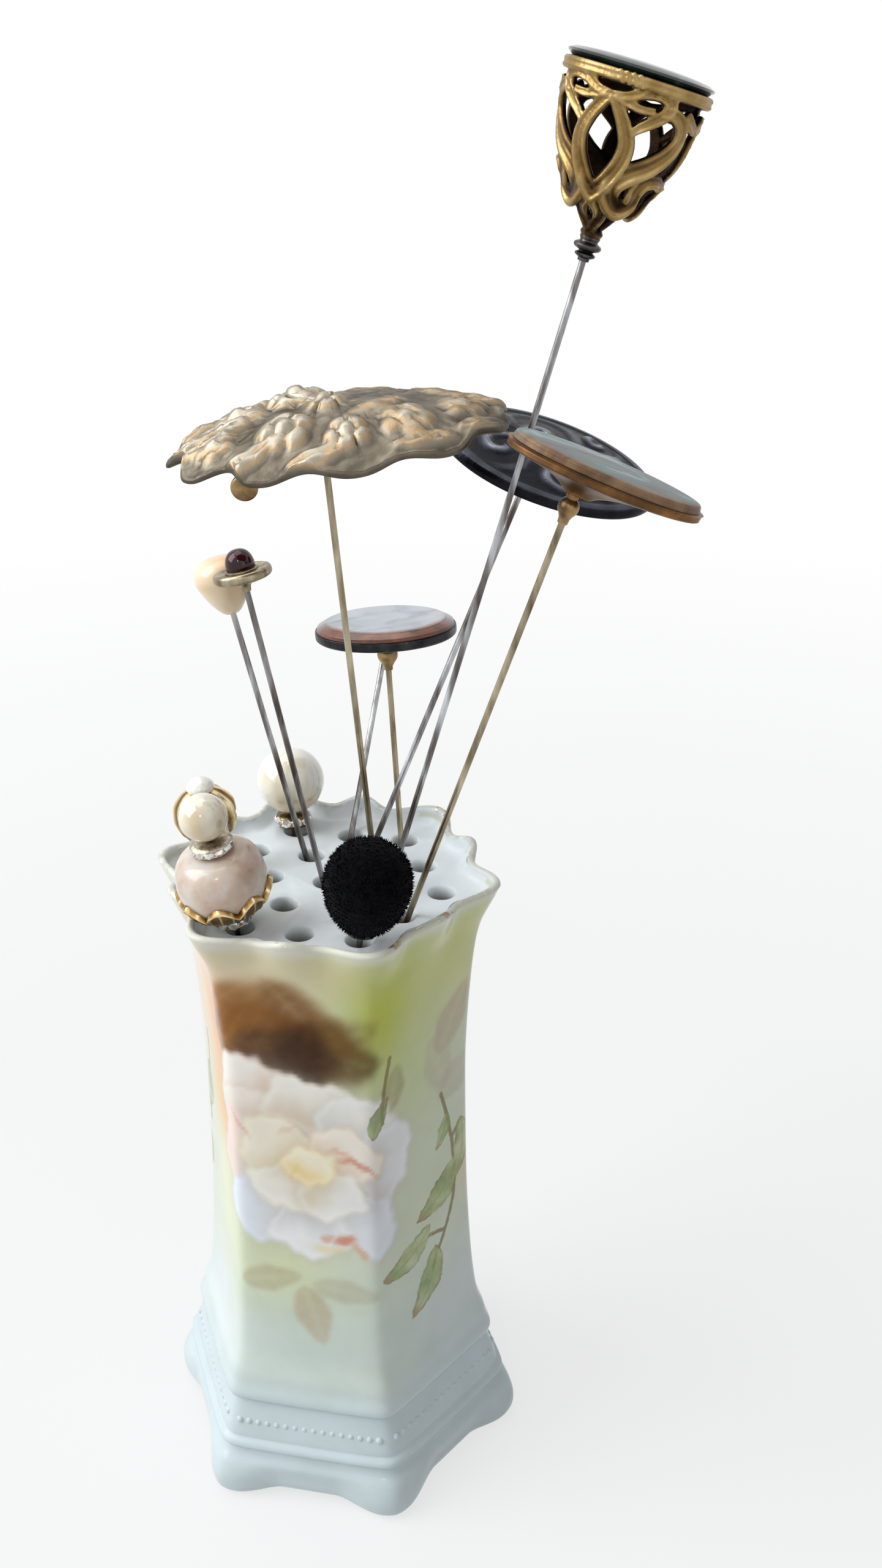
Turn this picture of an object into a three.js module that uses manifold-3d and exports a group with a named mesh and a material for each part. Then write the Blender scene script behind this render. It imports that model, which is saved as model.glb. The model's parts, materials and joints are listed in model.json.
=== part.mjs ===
// Hatpin holder: a six-sided porcelain vase with a pierced top, and twelve hatpins standing in it.
// Millimetres, +Z up. The origin is the centre of the holder's foot, on the table.
// Each hatpin lifts out of its hole along its own shank.

import * as THREE from 'three';
import { mergeVertices } from 'three/addons/utils/BufferGeometryUtils.js';
import Module from 'manifold-3d';

const wasm = await Module();
wasm.setup();

// Fits, shared by all pieces
const seatGap = 0.3; // between two pieces that touch
const cutOverrun = 6; // how far a cutter runs past the face that it cuts

// Holder: heights above the table, and radii to the corners of the hexagon
const bodyHeight = 120;
const footTopHeight = 10.1;
const bandTopHeight = 20.1;
const waistHeight = 80;
const footRadius = 34;
const footNeckRadius = 30.8;
const bandBottomRadius = 31.8;
const bandTopRadius = 28.7;
const bodyFootRadius = 28.8;
const waistRadius = 23.95;
const rimCornerRadius = 29.3;
const wallThickness = 2.6;
const floorTop = 4.5;
const undersideRecess = 1.25;
const footPadWidth = 4.2;
const footArch = 1.2;
const footSidePull = 1.9;

// Holder: scalloped rim, with a tip at each corner and a lobe in the middle of each side
const scallopDepth = 12;
const tipRadius = 29.7;
const notchRadius = 25.4;
const lobeRadius = 26.8;
const tipDrop = 0.7;
const notchDrop = 1.3;
const lipThickness = 1.5;
const lipRounding = 0.7;

// Holder: pierced top
const plateDrop = 3.7;
const plateTop = bodyHeight - plateDrop;
const plateThickness = 3.1;
const plateFillet = 2.2;
const holePitch = 9.9;
const holeRadius = 2.1;
const holeMouth = 0.55;

// Pins
const shankRadius = 0.5;
const pointLength = 12;
const pointRadius = 0.12;

// How far each head sits above the pierced top, along its shank
const filigreeRise = 104.5;
const blossomRise = 78.9;
const discRise = 71;
const shellRise = 74;
const ovalRise = 31;
const secondRise = 33.7;
const garnetRise = 52.1;
const creamRise = 44.5;
const swirlRise = 3.9;
const velvetRise = 2.35;

// Points that don't stand on the floor: how far below the pierced top, or how high above the table
const discReach = 68.4;
const secondReach = 75.4;
const beadTipHeight = 10.5;

// Outer radii of the rondelles that two of the pins hang by
const pearlRondelleRadius = 3.2;
const stackRondelleRadius = 3.15;

const sideCount = 6;
const degree = Math.PI / 180;
const sideHalfAngle = 180 / sideCount;
const cornerSoftness = 3;
const notchAngle = 18;
const padAngle = 12;
const cornerStart = -90;

// Foot, band and body outline: shares of each zone's height, and of the step in radius across it
const footShares = [[0, 0.38], [0.08, 0.08], [0.32, 0], [0.55, 0.1], [0.76, 0.4], [0.9, 0.8], [1, 1]];
const bandShares = [[0.06, 0.12], [0.12, 0.02], [0.2, 0.3], [0.9, 1], [0.97, 1.22]];
const lowerBodyShares = [
  [0, 0.95], [0.05, 0.93], [0.1, 0.8], [0.15, 0.56], [0.22, 0.4], [0.36, 0.24], [0.62, 0.07], [1, 0],
];
const upperBodyShares = [
  [0.24, 0.03], [0.45, 0.13], [0.64, 0.26], [0.78, 0.44], [0.87, 0.66], [0.94, 0.86], [0.975, 0.97],
];

// Finishes
function finish(color, roughness, metalness) {
  return new THREE.MeshStandardMaterial({ color, roughness, metalness });
}
const porcelain = finish(0xdfe6dc, 0.15, 0);
const gilt = finish(0xb08a3c, 0.35, 1);
const agedBrass = finish(0x8d7a55, 0.45, 1);
const steel = finish(0x9a9aa0, 0.3, 1);
const darkMetal = finish(0x26262c, 0.4, 0.8);
const nacre = finish(0xb9c2c6, 0.2, 0.1);
const garnet = finish(0x3a0c12, 0.1, 0);
const cream = finish(0xe8cba6, 0.25, 0);
const pearl = finish(0xefe9dc, 0.2, 0);
const frostedPink = finish(0xdcc3bd, 0.4, 0);
const crystal = finish(0xc9c6bd, 0.1, 0.3);
const velvet = finish(0x08080a, 1, 0);
const darkStone = finish(0x1d2623, 0.2, 0);

// Geometry helpers
function signedVolume(position, index) {
  const a = new THREE.Vector3();
  const b = new THREE.Vector3();
  const c = new THREE.Vector3();
  let sum = 0;
  for (let i = 0; i < index.length; i += 3) {
    a.fromBufferAttribute(position, index[i]);
    b.fromBufferAttribute(position, index[i + 1]);
    c.fromBufferAttribute(position, index[i + 2]);
    sum += a.dot(b.cross(c));
  }
  return sum;
}

// One closed geometry with shared vertices, no empty triangles and its faces pointing out
function tidy(source) {
  const bare = source.clone();
  bare.deleteAttribute('normal');
  bare.deleteAttribute('uv');
  const merged = mergeVertices(bare);
  const old = merged.index.array;
  const index = [];
  for (let i = 0; i < old.length; i += 3) {
    const [a, b, c] = [old[i], old[i + 1], old[i + 2]];
    if (a !== b && b !== c && c !== a) index.push(a, b, c);
  }
  if (signedVolume(merged.attributes.position, index) < 0) index.reverse();
  merged.setIndex(index);
  return merged;
}

function toSolid(geometry) {
  const closed = tidy(geometry);
  return new wasm.Manifold(new wasm.Mesh({
    numProp: 3,
    vertProperties: new Float32Array(closed.attributes.position.array),
    triVerts: new Uint32Array(closed.index.array),
  }));
}

function toGeometry(solid) {
  const mesh = solid.getMesh();
  const geometry = new THREE.BufferGeometry();
  geometry.setAttribute('position', new THREE.BufferAttribute(mesh.vertProperties, 3));
  geometry.setIndex(new THREE.BufferAttribute(mesh.triVerts, 1));
  return geometry;
}

function joined(geometries) {
  return toGeometry(geometries.map(toSolid).reduce((all, next) => all.add(next)));
}

function centreOf(ring) {
  const sum = ring.reduce((total, point) => total.add(point), new THREE.Vector3());
  return sum.divideScalar(ring.length);
}

// A skin over rings of points, closed with a fan at both ends
function skin(rings) {
  const count = rings[0].length;
  const points = rings.flat();
  const first = points.push(centreOf(rings[0])) - 1;
  const last = points.push(centreOf(rings.at(-1))) - 1;
  const lastRing = (rings.length - 1) * count;
  const index = [];
  for (let i = 0; i < count; i++) {
    const j = (i + 1) % count;
    index.push(first, j, i);
    index.push(last, lastRing + i, lastRing + j);
    for (let a = 0; a < lastRing; a += count) {
      const b = a + count;
      index.push(a + i, a + j, b + j);
      index.push(a + i, b + j, b + i);
    }
  }
  const geometry = new THREE.BufferGeometry().setFromPoints(points);
  geometry.setIndex(index);
  return geometry;
}

// A solid of revolution about Z, from [radius, height] points
function revolve(profile, segments) {
  const points = profile.map(([radius, height]) => new THREE.Vector2(radius, height));
  return new THREE.LatheGeometry(points, segments).rotateX(90 * degree);
}

// Rings of an oval, each scaled by a share of its half sizes: [share, height] rows, and how far the
// ring lies off the axis where it has a third value
function oval(halfLength, halfWidth, rows, segments, lift = () => 0) {
  return skin(rows.map(([share, height, shift = 0]) => {
    const ring = [];
    for (let i = 0; i < segments; i++) {
      const angle = (360 * degree * i) / segments;
      const x = shift + halfLength * share * Math.cos(angle);
      const y = halfWidth * share * Math.sin(angle);
      ring.push(new THREE.Vector3(x, y, height + lift(share, angle)));
    }
    return ring;
  }));
}

function smoothstep(low, high, value) {
  return THREE.MathUtils.smoothstep(value, low, high);
}

// Holder

// Degrees from the nearest corner, 0 at a corner and sideHalfAngle in the middle of a side
function fromCorner(angle) {
  const turn = 2 * sideHalfAngle;
  const within = (((angle - cornerStart) % turn) + turn) % turn;
  return Math.min(within, turn - within);
}

// Distance from the axis to the softly cornered hexagon
function hexagonRadius(angle, cornerRadius) {
  const soft = Math.hypot(fromCorner(angle), cornerSoftness);
  const apothem = cornerRadius * Math.cos((sideHalfAngle - cornerSoftness) * degree);
  return apothem / Math.cos((sideHalfAngle - soft) * degree);
}

// A wave from one value at a corner, through another at the notch, to a third in mid side
function scallop(angle, atTip, atNotch, atLobe) {
  const away = fromCorner(angle);
  if (away < notchAngle) {
    const share = (1 + Math.cos((180 * degree * away) / notchAngle)) / 2;
    return atNotch + (atTip - atNotch) * share;
  }
  const share = (1 - Math.cos((180 * degree * (away - notchAngle)) / (sideHalfAngle - notchAngle))) / 2;
  return atNotch + (atLobe - atNotch) * share;
}

function zone(shares, bottom, top, bottomRadius, topRadius) {
  return shares.map(([height, radius]) => [
    bottom + (top - bottom) * height,
    bottomRadius + (topRadius - bottomRadius) * radius,
  ]);
}

const outline = [
  ...zone(footShares, 0, footTopHeight, footRadius, footNeckRadius),
  ...zone(bandShares, footTopHeight, bandTopHeight, bandBottomRadius, bandTopRadius),
  ...zone(lowerBodyShares, bandTopHeight, waistHeight, waistRadius, bodyFootRadius),
  ...zone(upperBodyShares, waistHeight, bodyHeight, waistRadius, rimCornerRadius),
];

function cornerRadiusAt(height) {
  const above = outline.findIndex(([level]) => level >= height);
  if (above < 0) return rimCornerRadius;
  if (above === 0) return outline[0][1];
  const [low, high] = [outline[above - 1], outline[above]];
  const share = (height - low[0]) / (high[0] - low[0]);
  return low[1] + (high[1] - low[1]) * share;
}

function footLift(angle) {
  return footArch * smoothstep(padAngle, sideHalfAngle, fromCorner(angle));
}

function rimDrop(angle) {
  return scallop(angle, tipDrop, notchDrop, 0);
}

// Radius of the outside at a level, after the foot's pulled-in sides and the rim's scallops
function outsideRadius(angle, level, cornerRadius) {
  const foot = 1 - smoothstep(footTopHeight / 3, footTopHeight, level);
  const middle = smoothstep(0, sideHalfAngle, fromCorner(angle));
  const rim = smoothstep(bodyHeight - scallopDepth, bodyHeight, level);
  const waved = scallop(angle, tipRadius, notchRadius, lobeRadius);
  const plain = hexagonRadius(angle, rimCornerRadius);
  return hexagonRadius(angle, cornerRadius) - footSidePull * foot * middle + rim * (waved - plain);
}

function outsideHeight(angle, level) {
  const foot = footLift(angle) * (1 - smoothstep(0, footTopHeight, level));
  const rim = rimDrop(angle) * smoothstep(bodyHeight - scallopDepth, bodyHeight, level);
  return level + foot - rim;
}

function holderRing(level, cornerRadius, inset, segments) {
  const ring = [];
  for (let i = 0; i < segments; i++) {
    const angle = cornerStart + (360 * i) / segments;
    const radius = outsideRadius(angle, level, cornerRadius) - inset;
    ring.push(polar(radius, angle, outsideHeight(angle, level)));
  }
  return ring;
}

function polar(radius, angle, height) {
  return new THREE.Vector3(radius * Math.cos(angle * degree), radius * Math.sin(angle * degree), height);
}

// Ways to place a hole: on the axis, or in the inner or outer ring of the hexagonal lattice
function holeCentre([ringShare, angle]) {
  return polar(holePitch * ringShare, angle, plateTop);
}

const middleShare = Math.sqrt(3);
const holePlaces = [[0, 0]];
for (let corner = 0; corner < sideCount; corner++) {
  const angle = cornerStart + 2 * sideHalfAngle * corner;
  holePlaces.push([1, angle], [2, angle], [middleShare, angle + sideHalfAngle]);
}

function makeHolder() {
  const segments = 8 * sideCount;
  const hollowSegments = 3 * sideCount;
  const bottom = outline[0];
  const rings = [holderRing(bottom[0], bottom[1], footPadWidth, segments)];
  for (const [level, cornerRadius] of outline) {
    rings.push(holderRing(level, cornerRadius, 0, segments));
  }
  rings.push(holderRing(bodyHeight - lipRounding, rimCornerRadius, 0, segments));
  rings.push(holderRing(bodyHeight, rimCornerRadius, lipRounding, segments));
  const outside = toSolid(skin(rings));

  const recessRing = (height) => {
    const ring = [];
    for (let i = 0; i < segments; i++) {
      const angle = cornerStart + (360 * i) / segments;
      ring.push(polar(outsideRadius(angle, 0, bottom[1]) - footPadWidth, angle, height));
    }
    return ring;
  };
  const underside = toSolid(skin([recessRing(-cutOverrun), recessRing(undersideRecess)]));

  const hollowRing = (height, cornerRadius, inset) => {
    const ring = [];
    for (let i = 0; i < hollowSegments; i++) {
      const angle = cornerStart + (360 * i) / hollowSegments;
      ring.push(polar(hexagonRadius(angle, cornerRadius - wallThickness) - inset, angle, height));
    }
    return ring;
  };
  const plateUnder = plateTop - plateThickness;
  const hollowRings = [
    hollowRing(floorTop, footNeckRadius, plateFillet),
    hollowRing(floorTop + plateFillet, footNeckRadius, 0),
    hollowRing(footTopHeight, footNeckRadius, 0),
  ];
  const hollowShares = [0.1, 0.2, 0.3, 0.5, 0.7, 0.8, 0.88, 0.95];
  for (const share of hollowShares) {
    const height = footTopHeight + (plateUnder - footTopHeight) * share;
    hollowRings.push(hollowRing(height, cornerRadiusAt(height), 0));
  }
  hollowRings.push(hollowRing(plateUnder, cornerRadiusAt(plateUnder), wallThickness / 2));
  const hollow = toSolid(skin(hollowRings));

  const topRing = (height, inset) => {
    const ring = [];
    for (let i = 0; i < segments; i++) {
      const angle = cornerStart + (360 * i) / segments;
      const radius = outsideRadius(angle, bodyHeight, rimCornerRadius) - lipThickness;
      ring.push(polar(radius - inset, angle, height));
    }
    return ring;
  };
  const top = toSolid(skin([
    topRing(plateTop, plateFillet),
    topRing(plateTop + plateFillet / 4, plateFillet / 3),
    topRing(plateTop + plateFillet, 0),
    topRing(bodyHeight + cutOverrun, 0),
  ]));

  const drill = [
    [0, plateUnder - cutOverrun],
    [holeRadius, plateUnder - cutOverrun],
    [holeRadius, plateTop - holeMouth],
    [holeRadius + holeMouth, plateTop],
    [holeRadius + holeMouth, plateTop + cutOverrun / 2],
    [0, plateTop + cutOverrun / 2],
  ];
  let body = outside.subtract(underside).subtract(hollow).subtract(top);
  for (const place of holePlaces) {
    const centre = holeCentre(place);
    body = body.subtract(toSolid(revolve(drill, 12).translate(centre.x, centre.y, 0)));
  }
  return toGeometry(body);
}

// Pins. Each leans `toward` an angle, in a hole that it bears on at `bearing`, by a share of the
// free play, with its point off to the other side by `offset`, a share of the waist's radius. Its
// head is `rise` above the pierced top, or hangs on it by a rondelle of radius `rests`. It stands on
// its point, unless it has a `reach` or a `tipHeight`.
const pinPlaces = {
  filigree: {
    hole: [1, -30], bearing: -64.1, share: 0.85, offset: 1.34, toward: -16.8, rise: filigreeRise,
  },
  blossom: {
    hole: [1, -30], bearing: 160.9, share: 0.85, offset: 0.664, toward: -140.7, rise: blossomRise,
  },
  disc: {
    hole: [1, 30], bearing: 0, share: 0, offset: 1.084, toward: -7.9, rise: discRise, reach: discReach,
  },
  shell: {
    hole: [middleShare, -60], bearing: -19.1, share: 0.85, offset: 1.684, toward: -47.8, rise: shellRise,
  },
  oval: {
    hole: [2, 30], bearing: 115.9, share: 0.85, offset: 1.06, toward: 87.4, rise: ovalRise,
  },
  second: {
    hole: [middleShare, 60], bearing: 70.9, share: 0.85, offset: 1.499, toward: 48.6,
    rise: secondRise, reach: secondReach,
  },
  garnet: {
    hole: [0, 0], bearing: 115.9, share: 0.85, offset: 1.032, toward: 141.4, rise: garnetRise,
  },
  cream: {
    hole: [1, 90], bearing: 160.9, share: 0.85, offset: 1.265, toward: 136.9, rise: creamRise,
  },
  pearl: {
    hole: [2, 90], bearing: 115.9, share: 0.85, offset: 0.652, toward: 84.9,
    rests: pearlRondelleRadius, tipHeight: beadTipHeight,
  },
  stack: {
    hole: [2, -150], bearing: 115.9, share: 0.85, offset: 0.923, toward: -160.4,
    rests: stackRondelleRadius, tipHeight: beadTipHeight,
  },
  swirl: {
    hole: [2, 150], bearing: 70.9, share: 0.85, offset: 0.478, toward: -178.1, rise: swirlRise,
  },
  velvet: {
    hole: [2, -90], bearing: -109.1, share: 0.85, offset: 1.021, toward: -69.5, rise: velvetRise,
  },
};
const headTurn = -19;

// A pin's lean from upright, and distances along its shank from the pierced top down to its point
// and up to its head
function pinSpan({ offset, rise, rests, reach, tipHeight = floorTop + seatGap }) {
  const aside = offset * waistRadius;
  const below = reach ?? Math.hypot(aside, plateTop - tipHeight);
  const lean = Math.asin(aside / below);
  const above = rise ?? (seatGap + rests * Math.sin(lean)) / Math.cos(lean);
  return { lean, below, above };
}

function pinGroup(name) {
  const place = pinPlaces[name];
  const play = holeRadius - shankRadius - seatGap;
  const start = holeCentre(place.hole).add(polar(play * place.share, place.bearing, 0));
  const { lean, below } = pinSpan(place);
  const along = polar(Math.sin(lean), place.toward, Math.cos(lean));
  const group = new THREE.Group();
  group.position.copy(start).addScaledVector(along, -below);
  group.quaternion.setFromUnitVectors(new THREE.Vector3(0, 0, 1), along);
  group.rotateZ(headTurn * degree);
  return group;
}

function piece(name, geometry, look) {
  const mesh = new THREE.Mesh(tidy(geometry), look);
  mesh.name = name;
  return mesh;
}

// A shank from its point at the group's origin up to the given height
function makeShank(height) {
  return revolve([
    [0, 0],
    [pointRadius, 0],
    [shankRadius * 0.7, pointLength / 2],
    [shankRadius, pointLength],
    [shankRadius, height],
    [0, height],
  ], 8);
}

// Starts a pin: its group with the shank in it, and where the head's underside is seated
function startPin(name, look, extraShank = 0) {
  const group = pinGroup(name);
  const { below, above } = pinSpan(pinPlaces[name]);
  const foot = below + above;
  group.add(piece(`${name}_shank`, makeShank(foot + extraShank), look));
  return { group, seat: foot + extraShank + seatGap, foot };
}

// Filigree pin: an openwork bell of whiplash ribbons between a turned collar and a dark stone
const collarHeight = 2.7;
const collarRadius = 2;
const cageHeight = 21;
const cageTopRadius = 10.3;
const cageFootRadius = 1.7;
const cageFootHeight = 1.1;
const cageBandHeight = 1.6;
const ribbonHalfWidth = 0.85;
const ribbonHalfDepth = 0.5;
const stoneHeight = 1.5;
const ribbonRepeats = 2;
const ribbonSides = 4;

// Ribbons of one half of a repeat: rows of [degrees from its middle, share of the cage's height]
const cageRibbons = [
  {
    rows: [[2, 0.87], [12, 0.72], [21, 0.55], [19, 0.4], [6, 0.26], [-18, 0.17], [-10, 0]],
    width: 1,
    steps: 8,
  },
  {
    rows: [[0, 0.86], [18, 0.84], [36, 0.9], [56, 0.95], [67, 0.85], [56, 0.76], [36, 0.62]],
    width: 1,
    steps: 8,
  },
  {
    rows: [[4, 0.85], [24, 0.78], [54, 0.77]],
    width: 0.6,
    steps: 3,
  },
  {
    rows: [
      [60, 0.78], [78, 0.68], [76, 0.5], [48, 0.35], [26, 0.26], [50, 0.16], [76, 0.2], [72, 0.34], [92, 0.38],
    ],
    width: 1.25,
    steps: 11,
  },
  {
    rows: [[22, 0.99], [14, 0.92], [-2, 0.85]],
    width: 0.8,
    steps: 3,
  },
];

function cagePoint(angle, share) {
  const radius = cageFootRadius + (cageTopRadius - cageFootRadius) * Math.sqrt(Math.max(share, 0));
  const bottom = cageFootHeight / 2;
  return polar(radius - ribbonHalfDepth, angle, bottom + share * (cageHeight - cageBandHeight / 2 - bottom));
}

// A flat ribbon laid on the cage's bell, tapering towards both ends
function ribbon({ rows, width, steps }, middle, side) {
  const flat = rows.map(([angle, share]) => new THREE.Vector3(middle + side * angle, share, 0));
  const route = new THREE.CatmullRomCurve3(flat);
  const rings = [];
  for (let i = 0; i <= steps; i++) {
    const at = route.getPoint(i / steps);
    const ahead = route.getTangent(i / steps);
    const small = 0.01;
    const point = cagePoint(at.x, at.y);
    const next = cagePoint(at.x + ahead.x * small, at.y + ahead.y * small);
    const tangent = next.sub(point).normalize();
    const outward = polar(1, at.x, 0);
    const across = outward.clone().cross(tangent).normalize();
    outward.crossVectors(tangent, across);
    const taper = 0.6 + 0.4 * Math.sin((180 * degree * i) / steps);
    const ring = [];
    for (let corner = 0; corner < ribbonSides; corner++) {
      const turn = (360 * degree * corner) / ribbonSides;
      ring.push(point.clone()
        .addScaledVector(across, ribbonHalfWidth * width * taper * Math.cos(turn))
        .addScaledVector(outward, ribbonHalfDepth * Math.sin(turn)));
    }
    rings.push(ring);
  }
  return skin(rings);
}

function makeCage() {
  const bandInner = cageTopRadius - 3 * ribbonHalfDepth;
  const bandBottom = cageHeight - cageBandHeight;
  const band = revolve([
    [bandInner, bandBottom],
    [cageTopRadius, bandBottom],
    [cageTopRadius + ribbonHalfDepth / 2, cageHeight - cageBandHeight / 2],
    [cageTopRadius, cageHeight],
    [bandInner, cageHeight],
    [bandInner, bandBottom],
  ], 24);
  const foot = revolve([
    [0, 0],
    [cageFootRadius - ribbonHalfDepth, 0],
    [cageFootRadius, cageFootHeight / 2],
    [cageFootRadius - ribbonHalfDepth, cageFootHeight],
    [0, cageFootHeight],
  ], 12);
  const parts = [band, foot];
  for (let repeat = 0; repeat < ribbonRepeats; repeat++) {
    const middle = (360 * repeat) / ribbonRepeats;
    for (const strand of cageRibbons) {
      parts.push(ribbon(strand, middle, 1), ribbon(strand, middle, -1));
    }
  }
  return joined(parts);
}

function makeFiligreePin() {
  const { group, seat } = startPin('filigree', steel);
  const collar = revolve([
    [0, 0],
    [collarRadius * 0.45, 0],
    [collarRadius * 0.75, collarHeight * 0.15],
    [collarRadius * 0.55, collarHeight * 0.33],
    [collarRadius, collarHeight * 0.5],
    [collarRadius, collarHeight * 0.7],
    [collarRadius * 0.7, collarHeight],
    [0, collarHeight],
  ], 12).translate(0, 0, seat);
  group.add(piece('filigree_collar', collar, darkMetal));
  const cageSeat = seat + collarHeight + seatGap;
  group.add(piece('filigree_cage', makeCage().translate(0, 0, cageSeat), gilt));
  const stone = revolve([
    [0, 0],
    [cageTopRadius * 0.93, 0],
    [cageTopRadius, stoneHeight * 0.3],
    [cageTopRadius * 0.9, stoneHeight * 0.7],
    [cageTopRadius * 0.5, stoneHeight],
    [0, stoneHeight],
  ], 24).translate(0, 0, cageSeat + cageHeight + seatGap);
  group.add(piece('filigree_stone', stone, darkStone));
  return group;
}

// Blossom pin: a wide oval head pressed from thin brass, domed, with flowers in relief
const blossomHalfLength = 25.5;
const blossomHalfWidth = 15;
const blossomOffset = 1.8;
const blossomTip = -3.6;
const blossomDome = 5;
const blossomMetal = 1;
const blossomRelief = 1.5;
const blossomSocketRadius = 1.7;
const blossomSocketHeight = 2.6;
const lugRadius = 1.9;
const lugThickness = 1;

// Middles of the flowers, as shares of the head's half length and half width
const flowerShares = [
  [-0.72, -0.1], [-0.45, 0.5], [-0.42, -0.45], [-0.12, 0], [0.12, -0.6], [0.25, 0.5], [0.6, -0.2],
];

// The lug's place under the head, as shares of its half length and half width
const lugShares = [-0.5, -0.62];

function blossomLift(share, angle) {
  const x = share * Math.cos(angle);
  const y = share * Math.sin(angle);
  let lift = blossomDome * (1 - share ** 2);
  for (const [flowerX, flowerY] of flowerShares) {
    const away = Math.hypot((x - flowerX) * 2, y - flowerY) / 0.62;
    const fade = away < 1 ? (1 + Math.cos(180 * degree * away)) / 2 : 0;
    lift += blossomRelief * fade;
  }
  return lift;
}

function blossomEdge(share, angle) {
  return 1 - 0.035 * share * (1 + Math.cos(11 * angle));
}

// Height of the head's underside above its rim, at a place under it
function blossomUnder(x, y) {
  const reach = Math.hypot(x / blossomHalfLength, y / blossomHalfWidth);
  const angle = Math.atan2(y / blossomHalfWidth, x / blossomHalfLength);
  const share = reach / blossomEdge(reach, angle);
  return blossomDome * (1 - share ** 2);
}

function makeBlossomHead() {
  const segments = 40;
  const ring = (share, height, lifted) => {
    const points = [];
    for (let i = 0; i < segments; i++) {
      const angle = (360 * degree * i) / segments;
      const reach = share * blossomEdge(share, angle);
      const lift = lifted ? blossomLift(share, angle) : blossomDome * (1 - share ** 2);
      const x = blossomHalfLength * reach * Math.cos(angle);
      const y = blossomHalfWidth * reach * Math.sin(angle);
      points.push(new THREE.Vector3(x, y, height + lift));
    }
    return points;
  };
  const under = [0.12, 0.5, 0.8, 0.98].map((share) => ring(share, 0, false));
  const over = [1, 0.92, 0.82, 0.7, 0.56, 0.42, 0.27, 0.1].map((share) => ring(share, blossomMetal, true));
  return skin([...under, ...over]);
}

function makeBlossomPin() {
  const { group, seat } = startPin('blossom', agedBrass);
  const socket = revolve([
    [0, 0],
    [blossomSocketRadius * 0.6, 0],
    [blossomSocketRadius * 0.7, blossomSocketHeight * 0.5],
    [blossomSocketRadius, blossomSocketHeight],
    [0, blossomSocketHeight],
  ], 12).translate(0, 0, seat);
  group.add(piece('blossom_socket', socket, agedBrass));
  const head = new THREE.Group();
  head.position.z = seat + blossomSocketHeight + 2 * seatGap;
  head.rotation.y = blossomTip * degree;
  group.add(head);
  head.add(piece('blossom_head', makeBlossomHead().translate(blossomOffset, 0, -blossomDome), agedBrass));
  const lugX = blossomHalfLength * lugShares[0];
  const lugY = blossomHalfWidth * lugShares[1];
  const lugTop = blossomUnder(lugX, lugY - lugThickness / 2) - seatGap;
  const lug = revolve([
    [0, -lugThickness / 2],
    [lugRadius, -lugThickness / 2],
    [lugRadius, lugThickness / 2],
    [0, lugThickness / 2],
  ], 16).rotateX(90 * degree).translate(blossomOffset + lugX, lugY, lugTop - lugRadius - blossomDome);
  head.add(piece('blossom_lug', lug, agedBrass));
  return group;
}

// Dark disc pin: an oval embossed plate with a turned-down edge, on a socket
const discHalfLength = 17.9;
const discHalfWidth = 12.5;
const discThickness = 1.4;
const discDome = 1.6;
const discSocketRadius = 1.6;
const discSocketHeight = 3.4;
const discOffset = 2.2;
const discTipBack = 21.5;
const discTipSide = -3.5;

function makeDiscPin() {
  const { group, seat } = startPin('disc', steel);
  const socket = revolve([
    [0, 0],
    [discSocketRadius * 0.6, 0],
    [discSocketRadius, discSocketHeight * 0.5],
    [discSocketRadius * 0.6, discSocketHeight],
    [0, discSocketHeight],
  ], 12).translate(0, 0, seat);
  group.add(piece('disc_socket', socket, darkMetal));
  const head = new THREE.Group();
  head.position.z = seat + discSocketHeight + 2 * seatGap;
  head.rotation.set(discTipBack * degree, discTipSide * degree, 0);
  group.add(head);
  const plate = oval(discHalfLength, discHalfWidth, [
    [0.3, 0], [0.9, 0], [0.98, 0], [1, discThickness * 0.5], [0.97, discThickness], [0.6, discThickness],
    [0.2, discThickness],
  ], 24, (share) => discDome * (1 - share ** 2) - discDome);
  head.add(piece('disc_plate', plate.translate(discOffset, 0, discDome * 0.09), darkMetal));
  return group;
}

// Shell pins: an oval plate of shell in a metal back, tipped in degrees on a ball that the shank carries
function makeBall(radius) {
  const rows = 5;
  const profile = [[0, 0]];
  for (let row = 1; row < rows; row++) {
    const angle = (180 * degree * row) / rows;
    profile.push([radius * Math.sin(angle), radius * (1 - Math.cos(angle))]);
  }
  profile.push([0, 2 * radius]);
  return revolve(profile, 10);
}

function makeShellPin(name, sizes, backLook) {
  const { group, seat } = startPin(name, agedBrass);
  group.add(piece(`${name}_ball`, makeBall(sizes.ballRadius).translate(0, 0, seat), agedBrass));
  const head = new THREE.Group();
  head.position.z = seat + sizes.ballRadius;
  head.rotation.set(sizes.tipBack * degree, sizes.tipSide * degree, 0);
  group.add(head);
  const backSeat = sizes.ballRadius + seatGap;
  const backRows = sizes.backShares.map(([share, height]) => [
    share, sizes.backThickness * height, sizes.offset * share,
  ]);
  const back = oval(sizes.halfLength, sizes.halfWidth, backRows, 20).translate(0, 0, backSeat);
  head.add(piece(`${name}_back`, back, backLook));
  const plate = oval(sizes.halfLength, sizes.halfWidth, [
    [0.3, 0], [0.92, 0], [0.95, sizes.plateThickness * 0.3], [0.88, sizes.plateThickness * 0.6],
    [0.6, sizes.plateThickness * 0.9], [0.25, sizes.plateThickness],
  ], 20).translate(sizes.offset, 0, backSeat + sizes.backThickness + seatGap);
  head.add(piece(`${name}_plate`, plate, nacre));
  return group;
}

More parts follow.
